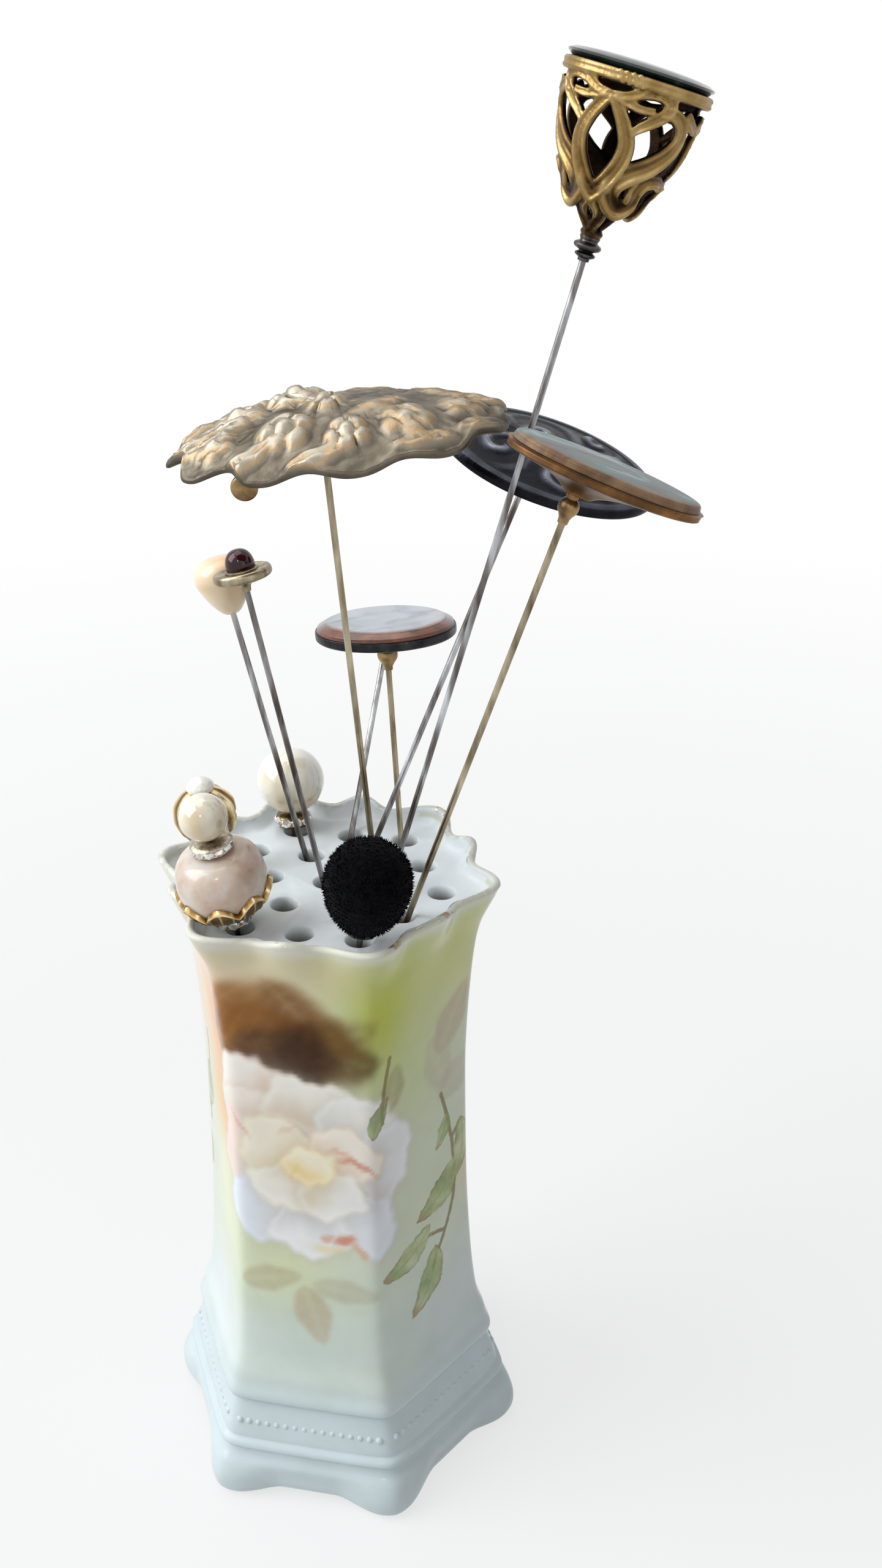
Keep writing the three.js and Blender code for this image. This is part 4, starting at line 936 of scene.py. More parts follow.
def makeRibbon(strand, middle, side):
    route = smoothLine(strand["rows"], 8)
    line = cagePoint(middle + side * route[:, 0], route[:, 1], filigree["halfDepth"])
    ahead = unit(np.gradient(line, axis=0))
    across = unit(np.cross(unit(line * (1, 1, 0)), ahead))
    outward = np.cross(ahead, across)

    def wrap(acrossShare, alongShare):
        row = np.rint(alongShare * (len(line) - 1)).astype(int)
        turnBy = fullTurn * acrossShare
        swell = strand["taper"] + (1 - strand["taper"]) * np.sin(np.pi * np.clip(alongShare, 0.02, 0.98)) ** 0.8
        ends = np.where((row == 0) | (row == len(line) - 1), 0.0, 1.0)
        off = np.abs(np.cos(turnBy))  # 0 on the middle line, 1 at the sides
        wide = filigree["halfWidth"] * strand["width"] * swell * np.cos(turnBy) * ends
        # raised edges and a fine ridge along the middle
        section = 0.5 + 0.55 * smoothstep(0.25, 0.68, off) + 0.3 * np.exp(-(off / 0.13) ** 2)
        section = np.where(np.sin(turnBy) > 0, section, 0.8) * np.minimum(1, 3.2 * (1 - off)) ** 0.5
        deep = filigree["halfDepth"] * np.sign(np.sin(turnBy)) * section * ends
        return (line[row] + across[row] * wide[:, None] + outward[row] * deep[:, None]).T
    return wrapped("ribbon", 36, len(line) - 1, wrap)


def makeNick(angle):
    nick, top, band = filigree["nicks"], filigree["top"], filigree["band"]
    clearSelection()
    bpy.ops.mesh.primitive_cylinder_add(vertices=10, radius=nick["radius"], depth=band * nick["length"])
    rib = bpy.context.object
    out = Matrix.Translation((top + nick["proud"], 0, filigree["height"] - band / 2))
    rib.data.transform(turnedBy(angle, "Z") @ out @ turnedBy(nick["slant"], "X"))
    return rib


def makeCage():
    top, height, band = filigree["top"], filigree["height"], filigree["band"]
    section = [(top + out, height - band * down) for out, down in filigree["bandSection"]]
    parts = [turned("cageBand", section, 64), turned("cageFoot", filigree["foot"], 24)]
    for middle in filigree["facing"]:
        parts += [makeRibbon(strand, middle, side) for strand in filigree["ribbons"] for side in (1, -1)]
        parts += [makeNick(middle + angle) for angle in filigree["nicks"]["angles"]]
    cage = joined("filigreeCage", parts)
    withModifier(cage, "REMESH", mode="VOXEL", voxel_size=filigree["voxel"])
    withModifier(cage, "SMOOTH", factor=0.5, iterations=1)
    points = meshPoints(cage)
    share = np.clip(points[:, 2] / height, 0, 1)
    proud = np.hypot(points[:, 0], points[:, 1]) - bellRadius(share)
    storeValues(cage, "relief", smoothstep(-0.62, 0.04, proud))
    print("cage:", len(cage.data.polygons), "faces")
    return cage


darkCollar = metal("darkCollar", [
    (0.35, (0.03, 0.03, 0.03)), (0.6, (0.09, 0.08, 0.075)), (0.8, (0.3, 0.24, 0.16)),
], 900)
giltLace = metal("giltLace", [
    (0.14, (0.01, 0.006, 0.004)), (0.42, (0.055, 0.03, 0.014)), (0.64, (0.16, 0.095, 0.032)),
    (0.8, (0.29, 0.19, 0.068)), (0.95, (0.5, 0.37, 0.19)),
], 260, (0.3, 0.46), 0.25, relief=True)
darkStone = mottled("darkStone", 420, 6, [
    (0.35, (0.008, 0.012, 0.01)), (0.6, (0.02, 0.035, 0.03)), (0.8, (0.08, 0.1, 0.08)),
], Roughness=0.18, Coat=0.5)
finishTurned("filigree", "collar", filigree["collar"], darkCollar, gap, steps=2)
finishPin(makeCage(), "filigree", "cage", giltLace, upBy(filigree["cageSeat"]), 60)
finishTurned("filigree", "stone", filigree["stone"], darkStone, filigree["stoneSeat"], 64)
print("filigree pin made")


# Oval plates, in rows of (share of the half sizes, height), smoothed
def ovalPiece(name, half, rows, around=72, lift=None, steps=3, edge=None):
    line = smoothLine(rows, steps)

    def wrap(acrossShare, alongShare):
        index = np.rint(alongShare * (len(line) - 1)).astype(int)
        turnBy = fullTurn * acrossShare
        share, height = np.maximum(line[index, 0], 0), line[index, 1]
        reach = share * (edge(share, turnBy) if edge else 1)
        x, y = reach * np.cos(turnBy), reach * np.sin(turnBy)
        if lift:
            height = height + lift(x, y, alongShare)
        return half[0] * x, half[1] * y, height
    return wrapped(name, around, len(line) - 1, wrap)


def ovalShare(points, half):
    return np.hypot(points[:, 0] / half[0], points[:, 1] / half[1])


def storeProud(piece, make, low, high):
    # How far each point stands above the smooth dome of an oval plate
    points = meshPoints(piece)
    smooth = make["dome"] * (1 - ovalShare(points, make["half"]) ** 2) + make["metal"]
    storeValues(piece, "relief", smoothstep(low, high, points[:, 2] - smooth))


# Blossom pin
blossom = {
    "half": (25.5, 15), "dome": 5, "metal": 1, "seat": 3.5, "tip": -3.6, "offset": 1.8, "lobes": 11,
    "socket": [(0, -0.4), (0.9, -0.4), (1.15, 0.4), (1.0, 0.8), (1.2, 1.5), (1.7, 2.7), (1.7, 3.6), (0, 3.6)],
    "rows": [(0, 0), (0.5, 0), (0.93, 0), (0.99, 0.1), (1, 0.5), (0.985, 0.9), (0.93, 1), (0.5, 1), (0, 1)],
    "lug": [(0, -0.5), (1.5, -0.5), (1.8, -0.38), (1.9, -0.2), (1.9, 0.2), (1.8, 0.38), (1.5, 0.5), (0, 0.5)],
    "lugPlace": (-12.75, -9.3, -0.96),
    # flowers: x, y, radius, height, petals, turn
    "flowers": [(-13.5, 1.5, 4.6, 2.0, 5, 10), (-6.2, -6.4, 4.4, 1.9, 5, 50), (-5.4, 5.6, 4.8, 2.3, 6, 0),
                (-16.5, -5.2, 3.4, 1.5, 5, 30), (2.4, -8.6, 3.6, 1.5, 5, 20), (10.5, -6.2, 4.2, 1.3, 5, 70),
                (-1.0, 0.4, 3.4, 1.6, 5, 0), (18.2, -1.4, 3.6, 1.1, 5, 40)],
    # leaves: x, y, half length, half width, turn, height
    "leaves": [(-19.5, -1.5, 5.4, 1.7, 20, 1.4), (-21.0, -4.6, 4.2, 1.3, 8, 1.2),
               (-18.6, 4.4, 5.0, 1.7, 38, 1.4), (-11.5, -10.0, 5.2, 1.8, 24, 1.3),
               (-10.0, 9.2, 5.4, 1.9, 42, 1.6), (-1.6, -12.0, 5.0, 1.6, 12, 1.1),
               (6.4, -2.6, 5.6, 1.6, 28, 1.0), (13.0, -10.0, 5.2, 1.5, 16, 1.0),
               (15.4, 3.6, 5.6, 1.6, -14, 0.9), (21.0, 2.2, 4.6, 1.4, -6, 1.2), (4.0, 10.4, 5.6, 1.7, 6, 0.9),
               (-14.6, -2.6, 4.8, 1.2, 40, 1.7), (20.6, -5.6, 4.4, 1.5, 28, 0.9)],
}


def blossomRelief(x, y):
    # Pressed flowers and leaves, the higher one showing, over a softly hammered ground
    high = 0.2 * np.sin(0.9 * x + 1.1 * np.sin(0.7 * y)) * np.cos(0.8 * y - 0.5 * x)
    high += 0.12 * np.sin(2.3 * x + 1.4 * np.sin(1.9 * y)) * np.cos(2.1 * y + 0.8 * np.sin(1.7 * x))
    for atX, atY, radius, height, petals, turnBy in blossom["flowers"]:
        reach = np.hypot(x - atX, y - atY) / radius
        around = np.arctan2(y - atY, x - atX) + math.radians(turnBy)
        lobed = reach / (0.8 + 0.2 * np.abs(np.cos(petals / 2 * around)) ** 0.7)
        creases = np.exp(-(np.sin(petals / 2 * around + math.pi / 2) / 0.2) ** 2)
        body = 0.95 * height * np.clip(1 - lobed ** 2, 0, 1) ** 0.6
        body -= 0.5 * height * creases * smoothstep(0.2, 0.55, reach) * (lobed < 1)
        body += height * (0.12 * np.exp(-(reach / 0.24) ** 2) - 0.36 * np.exp(-((reach - 0.36) / 0.1) ** 2))
        high = np.maximum(high, np.where(lobed < 1, body, -9))
    for atX, atY, halfLength, halfWidth, turnBy, height in blossom["leaves"]:
        c, d = math.cos(math.radians(turnBy)), math.sin(math.radians(turnBy))
        along = ((x - atX) * c + (y - atY) * d) / halfLength
        across = (-(x - atX) * d + (y - atY) * c) / halfWidth
        room = np.clip(1 - along ** 2, 0.0001, 1)
        share = np.abs(across) / room ** 0.7
        body = 0.9 * height * np.clip(1 - share ** 2, 0, 1) ** 0.6 * room ** 0.4
        body -= 0.35 * height * np.exp(-(across / 0.16) ** 2)
        body += 0.1 * height * np.cos(9 * along + 5 * np.abs(across))
        high = np.maximum(high, np.where((share < 1) & (np.abs(along) < 1), body, -9))
    return high


def blossomLift(x, y, along):
    share = np.hypot(x, y)
    flutes = 0.35 * np.cos(blossom["lobes"] * np.arctan2(y, x)) * smoothstep(0.7, 1, share)
    fade = 1 - smoothstep(0.9, 1.0, share)
    relief = blossomRelief(x * blossom["half"][0], y * blossom["half"][1]) * (0.35 + 0.65 * fade)
    return blossom["dome"] * (1 - share ** 2) + flutes + np.where(along > 0.55, relief, 0)


def blossomEdge(share, turnBy):
    # Lobed like petal ends, the more so at the left end
    left = smoothstep(-0.2, 0.9, -np.cos(turnBy))
    lobes = 0.5 - 0.5 * np.cos(blossom["lobes"] * turnBy + math.pi)
    return 1 - share ** 2 * (0.03 + (0.045 + 0.07 * left) * lobes ** 1.5)


patina = metal("blossomPatina", [
    (0.12, (0.06, 0.05, 0.038)), (0.34, (0.14, 0.12, 0.092)), (0.48, (0.22, 0.19, 0.145)),
    (0.6, (0.32, 0.225, 0.13)), (0.7, (0.29, 0.255, 0.2)), (0.9, (0.42, 0.375, 0.3)),
], 240, (0.36, 0.52), 0.3, relief=True)
agedBrass = metal("agedBrass", [
    (0.32, (0.08, 0.05, 0.025)), (0.5, (0.25, 0.16, 0.075)), (0.64, (0.42, 0.29, 0.13)),
    (0.8, (0.6, 0.46, 0.25)),
], 300, (0.25, 0.45), 0.3)
finishTurned("blossom", "socket", blossom["socket"], agedBrass, gap, 32, 2)
blossomPlace = upBy(blossom["seat"]) @ turnedBy(blossom["tip"], "Y")
blossomPlace = blossomPlace @ Matrix.Translation((blossom["offset"], 0, -blossom["dome"]))
head = ovalPiece("blossomHead", blossom["half"], blossom["rows"], 280, blossomLift, 12, blossomEdge)
storeProud(head, blossom, -0.6, 1.6)
finishPin(head, "blossom", "head", patina, blossomPlace, 50)
lugPlace = blossomPlace @ (Matrix.Translation(blossom["lugPlace"]) @ turnedBy(90, "X"))
finishPin(turned("blossomLug", blossom["lug"], 40), "blossom", "lug", agedBrass, lugPlace)
print("blossom pin made")

# Dark disc pin
disc = {
    "half": (17.9, 12.5), "dome": 1.6, "metal": 1.4, "seat": 4.3, "tip": (21.5, -3.5), "offset": 2.2,
    "socket": [(0, -0.4), (0.9, -0.4), (1.0, 0.4), (1.55, 1.4), (1.6, 1.8), (1.3, 2.6), (1.0, 3.4), (1.0, 4.4),
               (0, 4.4)],
    "plate": [(0, 0), (0.5, 0), (0.9, 0), (0.985, 0.1), (1, 0.7), (0.975, 1.3), (0.9, 1.4), (0.5, 1.4),
              (0, 1.4)],
    # scrolls: x and y as shares, way round, size
    "scrolls": [(-0.45, -0.25, 1, 0.4), (0.1, -0.5, -1, 0.34), (0.5, 0.05, 1, 0.42), (-0.1, 0.3, -1, 0.44),
                (-0.62, 0.35, -1, 0.3), (0.42, 0.6, 1, 0.3), (0.62, -0.45, -1, 0.26)],
    "scrollHeight": 0.55, "lipHeight": 0.22, "sink": -1.456,
}


def discLift(x, y, along):
    # A shallow dome with pressed scrolls and a plain lip
    share = np.hypot(x, y)
    relief = 0 * x
    for atX, atY, wayRound, size in disc["scrolls"]:
        reach = np.hypot(x - atX, (y - atY) * 0.75) / size
        around = np.arctan2(y - atY, x - atX)
        scroll = np.cos(wayRound * around + 9 * reach) * np.clip(1 - reach, 0, 1) ** 0.7
        relief = relief + disc["scrollHeight"] * np.maximum(scroll, -0.1)
    lip = disc["lipHeight"] * smoothstep(0.87, 0.9, share) * (1 - smoothstep(0.96, 0.99, share))
    relief = relief * (1 - smoothstep(0.8, 0.88, share)) + lip
    return disc["dome"] * (1 - share ** 2) + np.where(along > 0.55, relief, 0)


darkPress = metal("darkPress", [
    (0.3, (0.012, 0.012, 0.015)), (0.6, (0.045, 0.042, 0.045)), (0.8, (0.2, 0.17, 0.15)),
], 380, (0.25, 0.45), 0.3, metallic=0.9)
darkScroll = metal("darkScroll", [
    (0.12, (0.008, 0.008, 0.011)), (0.42, (0.024, 0.025, 0.032)), (0.62, (0.075, 0.08, 0.1)),
    (0.85, (0.27, 0.29, 0.34)),
], 300, (0.25, 0.42), 0.3, relief=True)
finishTurned("disc", "socket", disc["socket"], darkPress, gap, 32, 2)
discPlace = upBy(disc["seat"]) @ turnedBy(disc["tip"][0], "X") @ turnedBy(disc["tip"][1], "Y")
plate = ovalPiece("discPlate", disc["half"], disc["plate"], 200, discLift, 12)
storeProud(plate, disc, -0.1, 0.5)
discPlace = discPlace @ Matrix.Translation((disc["offset"], 0, disc["sink"]))
finishPin(plate, "disc", "plate", darkScroll, discPlace, 50)
print("disc pin made")

# Shell and oval pins: a shell plate in a metal back, carried by a ball
neck = [(0, -0.9), (0.75, -0.9), (0.8, -0.2)]
shellPins = {
    "shell": {"half": (14.2, 9), "ball": 1.5, "back": 4.2, "plate": 1.2, "tip": (-12.2, 5.3), "offset": 3,
              "bevel": 0.9,
              "backShares": [(0, 0), (0.12, 0), (0.15, 0.04), (0.2, 0.16), (0.32, 0.32), (0.55, 0.5),
                             (0.85, 0.64), (0.985, 0.72), (1, 0.82), (1, 0.92), (0.975, 1), (0.5, 1), (0, 1)],
              "plateShares": [(0, 0), (0.5, 0), (0.93, 0), (0.96, 0.2), (0.955, 0.5), (0.9, 0.72), (0.6, 0.92),
                              (0.3, 1), (0, 1)]},
    "oval": {"half": (12.2, 9.5), "ball": 1.8, "back": 3.0, "plate": 1.0, "tip": (10, 0.7), "offset": 0,
             "bevel": 0.8,
             "backShares": [(0, 0), (0.14, 0), (0.155, 0.1), (0.16, 0.28), (0.3, 0.32), (0.75, 0.34),
                            (0.94, 0.4), (0.99, 0.5), (1, 0.6), (1, 0.9), (0.985, 0.98), (0.95, 1), (0.5, 1),
                            (0, 1)],
             "plateShares": [(0, 0), (0.5, 0), (0.93, 0), (0.965, 0.12), (0.955, 0.3), (0.86, 0.86),
                             (0.82, 0.97), (0.5, 1), (0, 1)]},
}


def ballProfile(radius, rows=12, start=0.0):
    return [(radius * math.sin(math.pi * row / rows), start + radius * (1 - math.cos(math.pi * row / rows)))
            for row in range(rows + 1)]


def nacreMaterial(name, stops, scale, stretch, bevel, **finish):
    # Shell with soft bands of colour, and a brown bevel on the side towards the viewer
    material, tree, shader = startMaterial(name, **finish)
    bands = addNoise(tree, scale, 3, stretch, 0.8)
    rust = addRamp(tree, addNoise(tree, scale * 2, 4, stretch), [(0.35, bevel[0]), (0.65, bevel[1])])
    colour = addMix(tree, stored(tree, "bevel"), addRamp(tree, bands, stops), rust)
    tree.links.new(colour, shader.inputs["Base Color"])
    tree.links.new(addBump(tree, addNoise(tree, scale * 2, 5, stretch), 0.25, 0.0002), shader.inputs["Normal"])
    return material


shellNacre = nacreMaterial("shellNacre", [
    (0.2, (0.1, 0.075, 0.07)), (0.42, (0.15, 0.16, 0.155)), (0.54, (0.12, 0.19, 0.18)),
    (0.66, (0.34, 0.39, 0.41)), (0.85, (0.18, 0.14, 0.15)),
], 120, (1, 2.2, 1), ((0.12, 0.065, 0.035), (0.3, 0.18, 0.1)), Roughness=0.42, IorLevel=0.25)
ovalNacre = nacreMaterial("ovalNacre", [
    (0.25, (0.24, 0.27, 0.31)), (0.5, (0.42, 0.46, 0.5)), (0.75, (0.54, 0.54, 0.57)),
], 130, (1, 1.6, 1), ((0.09, 0.03, 0.02), (0.28, 0.1, 0.05)), Roughness=0.3, Coat=0.25, CoatRough=0.12)
bronzeBack = metal("bronzeBack", [
    (0.34, (0.045, 0.028, 0.018)), (0.52, (0.16, 0.08, 0.032)), (0.66, (0.36, 0.17, 0.055)),
    (0.8, (0.46, 0.3, 0.14)),
], 160, (0.38, 0.55), 0.3)


def makeShellPin(pin, backMetal, nacre):
    make = shellPins[pin]
    half, ball, back, plate, offset = (make[key] for key in ("half", "ball", "back", "plate", "offset"))
    profile = neck + ballProfile(ball)[3:-2]
    profile += [(0.9, 2 * ball + 0.1), (0.8, 2 * ball + 0.7), (0, 2 * ball + 0.7)]
    finishTurned(pin, "ball", profile, agedBrass, gap)
    tipX, tipY = make["tip"]
    backPlace = upBy(gap + ball) @ turnedBy(tipX, "X") @ turnedBy(tipY, "Y") @ upBy(ball + gap)
    piece = ovalPiece(pin + "Back", half, [(share, back * height) for share, height in make["backShares"]], 96)
    points = meshPoints(piece)
    lean = np.where(points[:, 2] > back * 0.95, 1, np.clip(ovalShare(points, half), 0, 1))
    points[:, 0] += offset * lean
    setPoints(piece, points)
    finishPin(piece, pin, "back", backMetal, backPlace)
    rows = [(share, plate * height) for share, height in make["plateShares"]]
    piece = ovalPiece(pin + "Plate", half, rows, 96, steps=5)
    points = meshPoints(piece)
    front = smoothstep(-0.2, 0.5, -points[:, 1] / half[1])
    low = make["bevel"]
    edge = smoothstep(low, low + 0.1, ovalShare(points, half) + 0.08 * front)
    storeValues(piece, "bevel", edge * (0.35 + 0.65 * front))
    # the underside reaches down to the back
    points[:, 2] -= 0.33 * (points[:, 2] < plate * 0.1)
    setPoints(piece, points)
    finishPin(piece, pin, "plate", nacre, backPlace @ Matrix.Translation((offset, 0, back + gap)))


makeShellPin("shell", bronzeBack, shellNacre)
makeShellPin("oval", darkPress, ovalNacre)
print("shell and oval pins made")

# Second pin behind them
second = {"radius": 2.6}
finishTurned("second", "bead", neck + ballProfile(second["radius"])[2:], agedBrass, gap)

# Garnet pin
garnet = {
    "dish": [(0, -1.2), (0.7, -1.2), (0.85, -0.4), (1.4, 0.1), (2.7, 0.45), (4.1, 0.75), (4.66, 1.1),
             (4.75, 1.7), (4.6, 2.2), (4.2, 2.4), (3.3, 2.15), (2.7, 2.2), (2.5, 2.5), (0, 2.5)],
    "stone": [(0, -0.6), (2.1, -0.6), (2.35, 0.6), (2.3, 1.2), (2.0, 2.1), (1.4, 2.8), (0.7, 3.12), (0, 3.2)],
    "stoneSeat": 2.8,
}
garnetGlass = mottled("garnetGlass", 300, 3, [
    (0.3, (0.012, 0.001, 0.003)), (0.7, (0.07, 0.004, 0.012)),
], Roughness=0.07, IorLevel=0.4)
finishTurned("garnet", "dish", garnet["dish"], brassWire, gap, 48, 2)
finishTurned("garnet", "stone", garnet["stone"], garnetGlass, garnet["stoneSeat"], steps=2)

# Cream pin
cream = {
    "bead": [(0, -0.3), (1.1, -0.25), (2.0, 0.5), (2.9, 1.7), (3.8, 3.4), (4.5, 5.2), (4.62, 6.2), (4.3, 7.6),
             (3.3, 8.7), (1.8, 9.3), (0, 9.4)],
}
creamBaroque = mottled("creamBaroque", 110, 1, [
    (0.34, (0.86, 0.71, 0.5)), (0.5, (0.8, 0.56, 0.31)), (0.66, (0.7, 0.42, 0.18)),
], Roughness=0.3, Coat=0.4, CoatRough=0.1)
finishTurned("cream", "bead", cream["bead"], creamBaroque, gap, 48, 2)

# Rondelles: a ring set with small stones
rondelles = {
    "section": [(0.8, 0), (0.93, 0.1), (1, 0.24), (0.95, 0.36), (0.95, 0.64), (1, 0.76), (0.93, 0.9), (0.8, 1)],
    "bore": 0.8, "stoneSize": 0.45, "stoneTilt": 66, "stoneReach": 0.9, "stoneRise": 0.08,
}
crystal = mottled("rhinestone", 900, 2, [
    (0.35, (0.5, 0.48, 0.44)), (0.6, (0.92, 0.92, 0.9)),
], Roughness=0.05, Metallic=0.6, Coat=1.0)
goldCap = metal("goldCap", [
    (0.3, (0.2, 0.115, 0.04)), (0.5, (0.46, 0.31, 0.12)), (0.72, (0.76, 0.6, 0.34)),
], 700, relief=True)
darkGold = metal("darkGold", [
    (0.3, (0.06, 0.035, 0.015)), (0.55, (0.2, 0.13, 0.06)), (0.78, (0.45, 0.34, 0.18)),
], 480)
paleRing = metal("paleRing", [
    (0.3, (0.12, 0.09, 0.06)), (0.5, (0.36, 0.31, 0.23)), (0.75, (0.72, 0.68, 0.58)),
], 700)


def makeRondelle(pin, part, ring, size, seat=0.0):
    radius, height, count = size
    bore = rondelles["bore"]
    section = [(radius * out, height * up) for out, up in rondelles["section"]]
    finishTurned(pin, part, [(bore, 0), *section, (bore, height), (bore, 0)], ring, seat, 40)
    wide, low = height * rondelles["stoneSize"], -0.3
    top = wide * 0.42
    stone = turned("stone", [(0, low), (wide, low), (wide, 0.05), (wide * 0.6, top), (0, top)], 8)
    level = seat + height / 2 + height * rondelles["stoneRise"]
    out = Matrix.Translation((radius * rondelles["stoneReach"], 0, level))
    out = out @ turnedBy(rondelles["stoneTilt"], "Y")
    around = [Matrix.Rotation(fullTurn * index / count, 4, "Z") for index in range(count)]
    stones = [copied(stone, turnTo @ out) for turnTo in around]
    bpy.data.objects.remove(stone)
    name = pin + "".join(word.capitalize() for word in part.replace("rondelle", "stones").split("_"))
    finishPin(joined(name, stones), pin, None, crystal, angle=10)


# Pearl pin; a rondelle is given as radius, height and number of stones
pearl = {"rondelle": (3.2, 2.3, 10), "radius": 6, "seat": 2.4}
pearlNacre = mottled("pearlNacre", 110, 2, [
    (0.38, (0.68, 0.55, 0.36)), (0.5, (0.82, 0.76, 0.6)), (0.62, (0.9, 0.88, 0.8)),
], Roughness=0.14, Coat=1.0, CoatRough=0.03)
makeRondelle("pearl", "rondelle", darkGold, pearl["rondelle"])
finishTurned("pearl", "bead", ballProfile(pearl["radius"], 24, pearl["seat"]), pearlNacre, 0, 56)

# Stacked bead pin
stack = {
    "lower": (3.15, 2.2, 9), "upper": (3.4, 1.9, 12), "upperSeat": 14.3, "pearlRadius": 3.8, "pearlSeat": 16.5,
    "pinkShares": [(0.45, 0), (0.78, 0.1), (0.97, 0.32), (1, 0.55), (0.92, 0.8), (0.72, 0.96), (0.45, 1)],
    "pinkRadius": 7.2, "pinkHeight": 10.6, "pinkSeat": 3.4, "bore": 0.8,
    # cap: its edge by share of the bead's height, and its levels outside and inside
    "petals": 8, "metal": 0.45, "clearance": 0.3, "capSeat": 2.5,
    "edge": (0.2, 0.22), "outside": (0.0, 0.3), "inside": (0.55, 0.9),
}
frostedPink = mottled("frostedPink", 190, 4, [
    (0.36, (0.7, 0.51, 0.4)), (0.5, (0.83, 0.69, 0.57)), (0.64, (0.93, 0.85, 0.76)),
], Roughness=0.25, Subsurface=0.4, SubsurfaceScale=0.004, Coat=0.5, CoatRough=0.08, Transmission=0.3, Ior=1.35)
pinkLine = smoothLine([(stack["pinkRadius"] * r, stack["pinkHeight"] * h) for r, h in stack["pinkShares"]], 4)


def capEdge(turnBy):
    low, rise = stack["edge"]
    return low + rise * np.abs(np.cos(stack["petals"] / 2 * turnBy))


def makeCap():
    def wrap(acrossShare, alongShare):
        turnBy = fullTurn * acrossShare
        climb = np.clip(np.where(alongShare < 0.5, alongShare * 2, (1 - alongShare) * 2), 0, 1)
        inner, atBore = alongShare > 0.5, climb <= 0.02
        height = climb * capEdge(turnBy) * stack["pinkHeight"]
        radius = np.interp(height, pinkLine[:, 1], pinkLine[:, 0]) + stack["clearance"]
        radius = np.where(atBore, stack["bore"], radius + np.where(inner, 0.0, stack["metal"]))
        levels = zip(stack["inside"], stack["outside"])
        bore, wall = (np.where(inner, inside, outside) for inside, outside in levels)
        return radius * np.cos(turnBy), radius * np.sin(turnBy), np.where(atBore, bore, height + wall)
    cap = wrapped("stackCap", 192, 60, wrap)
    # veins and a raised edge on each petal
    points = meshPoints(cap)
    turnBy = np.arctan2(points[:, 1], points[:, 0])
    edgeLevel = stack["outside"][1] + capEdge(turnBy) * stack["pinkHeight"]
    veins = 0.9 * np.exp(-(np.sin(stack["petals"] * 1.5 * turnBy) / 0.3) ** 2)
    raised = np.clip(np.exp(-((points[:, 2] - edgeLevel + 0.25) / 0.28) ** 2) + veins, 0, 1)
    points[:, :2] *= (1 - 0.035 * (1 - raised) * smoothstep(0.6, 1.4, points[:, 2]))[:, None]
    setPoints(cap, points)
    storeValues(cap, "relief", raised)
    return cap


makeRondelle("stack", "lower_rondelle", darkGold, stack["lower"])
finishPin(makeCap(), "stack", "cap", goldCap, upBy(stack["capSeat"]))
pinkProfile = [(stack["bore"], 0), *[tuple(p) for p in pinkLine], (stack["bore"], stack["pinkHeight"]),
               (stack["bore"], 0)]
finishTurned("stack", "bead", pinkProfile, frostedPink, stack["pinkSeat"], 64)
makeRondelle("stack", "upper_rondelle", paleRing, stack["upper"], stack["upperSeat"])
pearlBall = ballProfile(stack["pearlRadius"], 20, stack["pearlSeat"])
finishTurned("stack", "pearl", pearlBall, pearlNacre, 0, 48)
print("bead pins made")

# Swirl pin
swirl = {
    "rondelle": [(0, 0), (2.2, 0), (2.65, 0.3), (2.8, 0.8), (2.65, 1.3), (2.2, 1.6), (2.2, 2.4), (0, 2.4)],
    "bead": [(0, 0), (2.3, 0), (3.3, 0.6), (4.3, 1.7), (5.05, 3.6), (5.1, 4.8), (4.8, 6.6), (3.7, 8.2),
             (2.2, 9.3), (0, 9.6)],
    "tip": [(0, -0.7), (2.2, -0.7), (2.42, -0.2), (2.25, 0.4), (1.7, 1.0), (1.05, 1.4), (0.5, 1.62), (0, 1.7)],
    "radius": 5.1, "flutes": 9, "twist": 0.42, "depth": 0.045, "width": 1.06, "beadSeat": 2.2, "tipSeat": 12.1,
}
swirlGold = metal("swirlGold", [
    (0.15, (0.13, 0.065, 0.018)), (0.4, (0.4, 0.24, 0.075)), (0.68, (0.66, 0.47, 0.2)),
    (0.92, (0.84, 0.74, 0.52)),
], 300, (0.2, 0.35), relief=True)
finishTurned("swirl", "rondelle", swirl["rondelle"], darkCollar, gap, steps=2)
bead = turned("swirlBead", swirl["bead"], 120, 4)
points = meshPoints(bead)
points[:, :2] *= swirl["width"]
flute = np.cos(swirl["flutes"] * np.arctan2(points[:, 1], points[:, 0]) + swirl["twist"] * points[:, 2])
reach = np.hypot(points[:, 0], points[:, 1]) / swirl["radius"]
points[:, :2] *= (1 + swirl["depth"] * smoothstep(0.2, 0.6, reach) * (flute - 1))[:, None]
setPoints(bead, points)
storeValues(bead, "relief", smoothstep(-0.9, 0.7, flute))
finishPin(bead, "swirl", "bead", swirlGold, upBy(swirl["beadSeat"]))
finishTurned("swirl", "tip", swirl["tip"], pearlNacre, swirl["tipSeat"], 32)

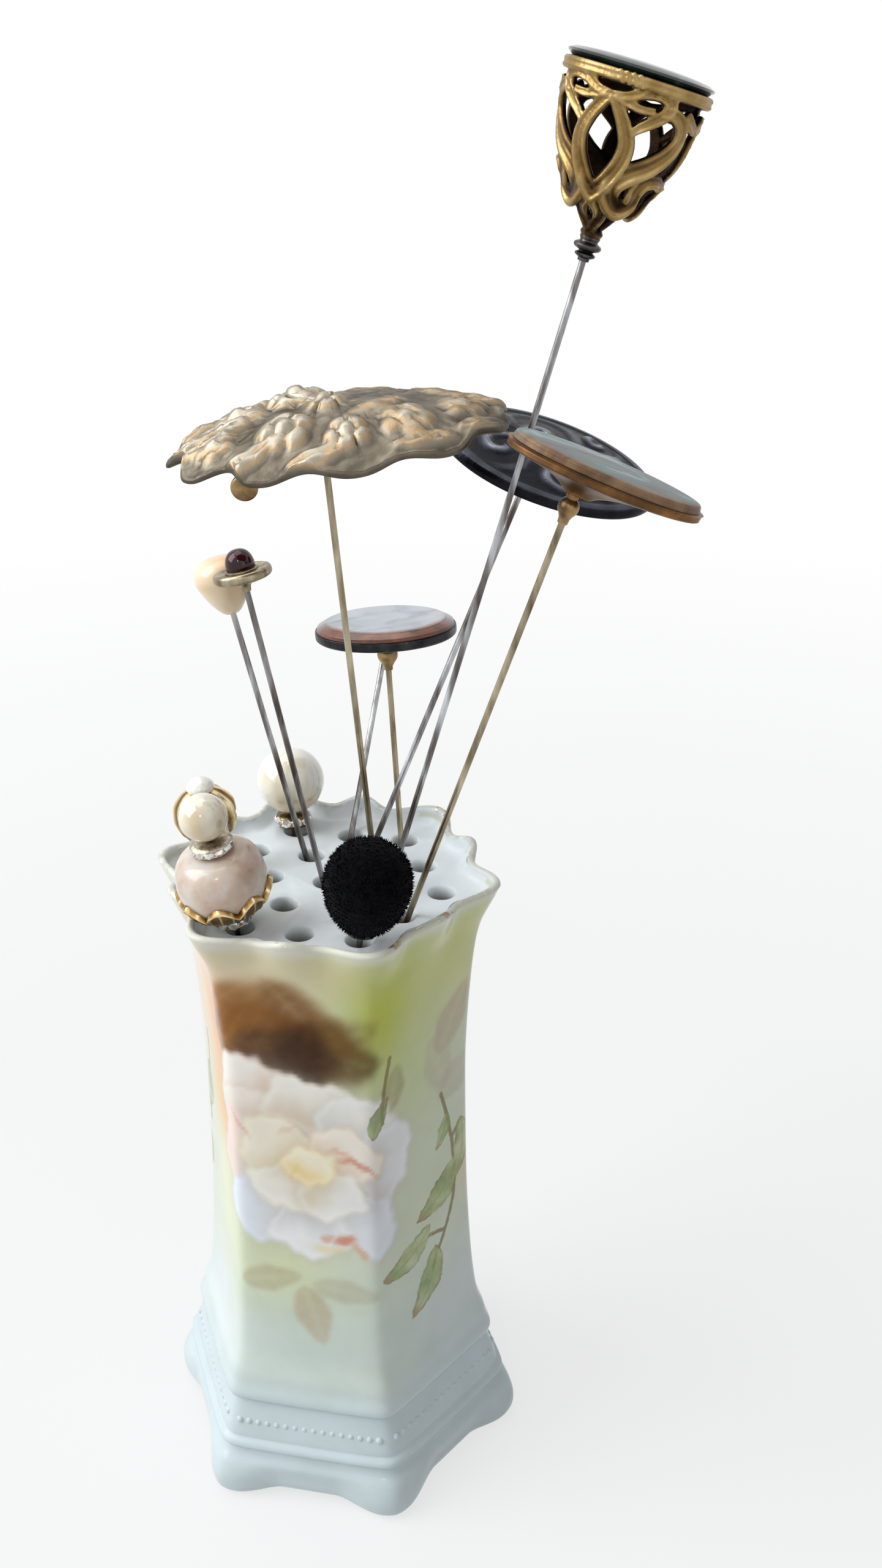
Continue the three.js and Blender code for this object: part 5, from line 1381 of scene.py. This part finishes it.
# Velvet pin
velvet = {
    "cup": [(0, -0.4), (0.8, -0.4), (2.2, 0), (2.75, 0.4), (2.9, 1.2), (0, 1.2)],
    "ball": [(0, 0), (2.7, 0), (4.4, 1.5), (5.9, 4.1), (6.75, 7.6), (6.5, 10.6), (5.1, 13.3), (2.8, 14.8),
             (0, 15.1)],
    "seat": 1.5, "segments": 64, "steps": 4,
    "tufts": 3600, "length": (0.35, 0.7), "width": 0.11, "lean": 0.5, "proud": 0.4, "seed": 7,
}
velvetNap = mottled("velvetNap", 800, 4, [
    (0.3, (0.001, 0.001, 0.0015)), (0.7, (0.006, 0.006, 0.0075)),
], Roughness=1.0, Sheen=0.05, SheenRough=0.5, IorLevel=0.0)
napTree = velvetNap.node_tree
napBump = addBump(napTree, addNoise(napTree, 2600, 3), 0.8, 0.0004)
napTree.links.new(napBump, napTree.nodes["Principled BSDF"].inputs["Normal"])


def velvetFaces():
    # The faces of the ball, worked out from its profile, because the order in its mesh differs from run to run
    angles = [fullTurn * segment / velvet["segments"] for segment in range(velvet["segments"] + 1)]
    rings = [[Vector((radius * math.cos(turnBy), radius * math.sin(turnBy), height)) for turnBy in angles]
             for radius, height in smoothLine(velvet["ball"], velvet["steps"])]
    return [(low[i], low[i + 1], high[i + 1], high[i])
            for low, high in zip(rings, rings[1:]) for i in range(velvet["segments"])]


def makePile():
    # Short tufts all over the ball: one is modelled, and its corners repeated at random places
    draw = random.Random(velvet["seed"])
    faces = velvetFaces()
    outward = [(c - a).cross(d - b) / 2 for a, b, c, d in faces]  # as long as the face is large
    clearSelection()
    bpy.ops.mesh.primitive_cone_add(vertices=3, radius1=velvet["width"], radius2=0, depth=1, location=(0, 0, 0))
    pile = bpy.context.object
    tuftCorners = meshPoints(pile) + (0, 0, velvet["proud"])
    tuftFaces = [tuple(face.vertices) for face in pile.data.polygons]
    allCorners, allFaces = [], []
    for index in draw.choices(range(len(faces)), [area.length for area in outward], k=velvet["tufts"]):
        shares = [draw.random() for _ in faces[index]]
        foot = sum((corner * share for corner, share in zip(faces[index], shares)), Vector()) / sum(shares)
        lean = Vector([draw.uniform(-1, 1) for _ in range(3)]) * velvet["lean"]
        turnTo = (outward[index].normalized() + lean).to_track_quat("Z", "Y").to_matrix().to_4x4()
        place = Matrix.Translation(foot) @ turnTo @ Matrix.Diagonal((1, 1, draw.uniform(*velvet["length"]), 1))
        start = len(allCorners)
        allCorners += [place @ Vector(corner) for corner in tuftCorners]
        allFaces += [tuple(start + corner for corner in tuftFace) for tuftFace in tuftFaces]
    pile.data.clear_geometry()
    pile.data.from_pydata(allCorners, [], allFaces)
    pile.name = "velvetPile"
    return pile


finishTurned("velvet", "cup", velvet["cup"], darkCollar, gap)
finishTurned("velvet", "ball", velvet["ball"], velvetNap, velvet["seat"], velvet["segments"],
             velvet["steps"])
finishPin(makePile(), "velvet", None, velvetNap, upBy(velvet["seat"]))
print("swirl and velvet pins made")
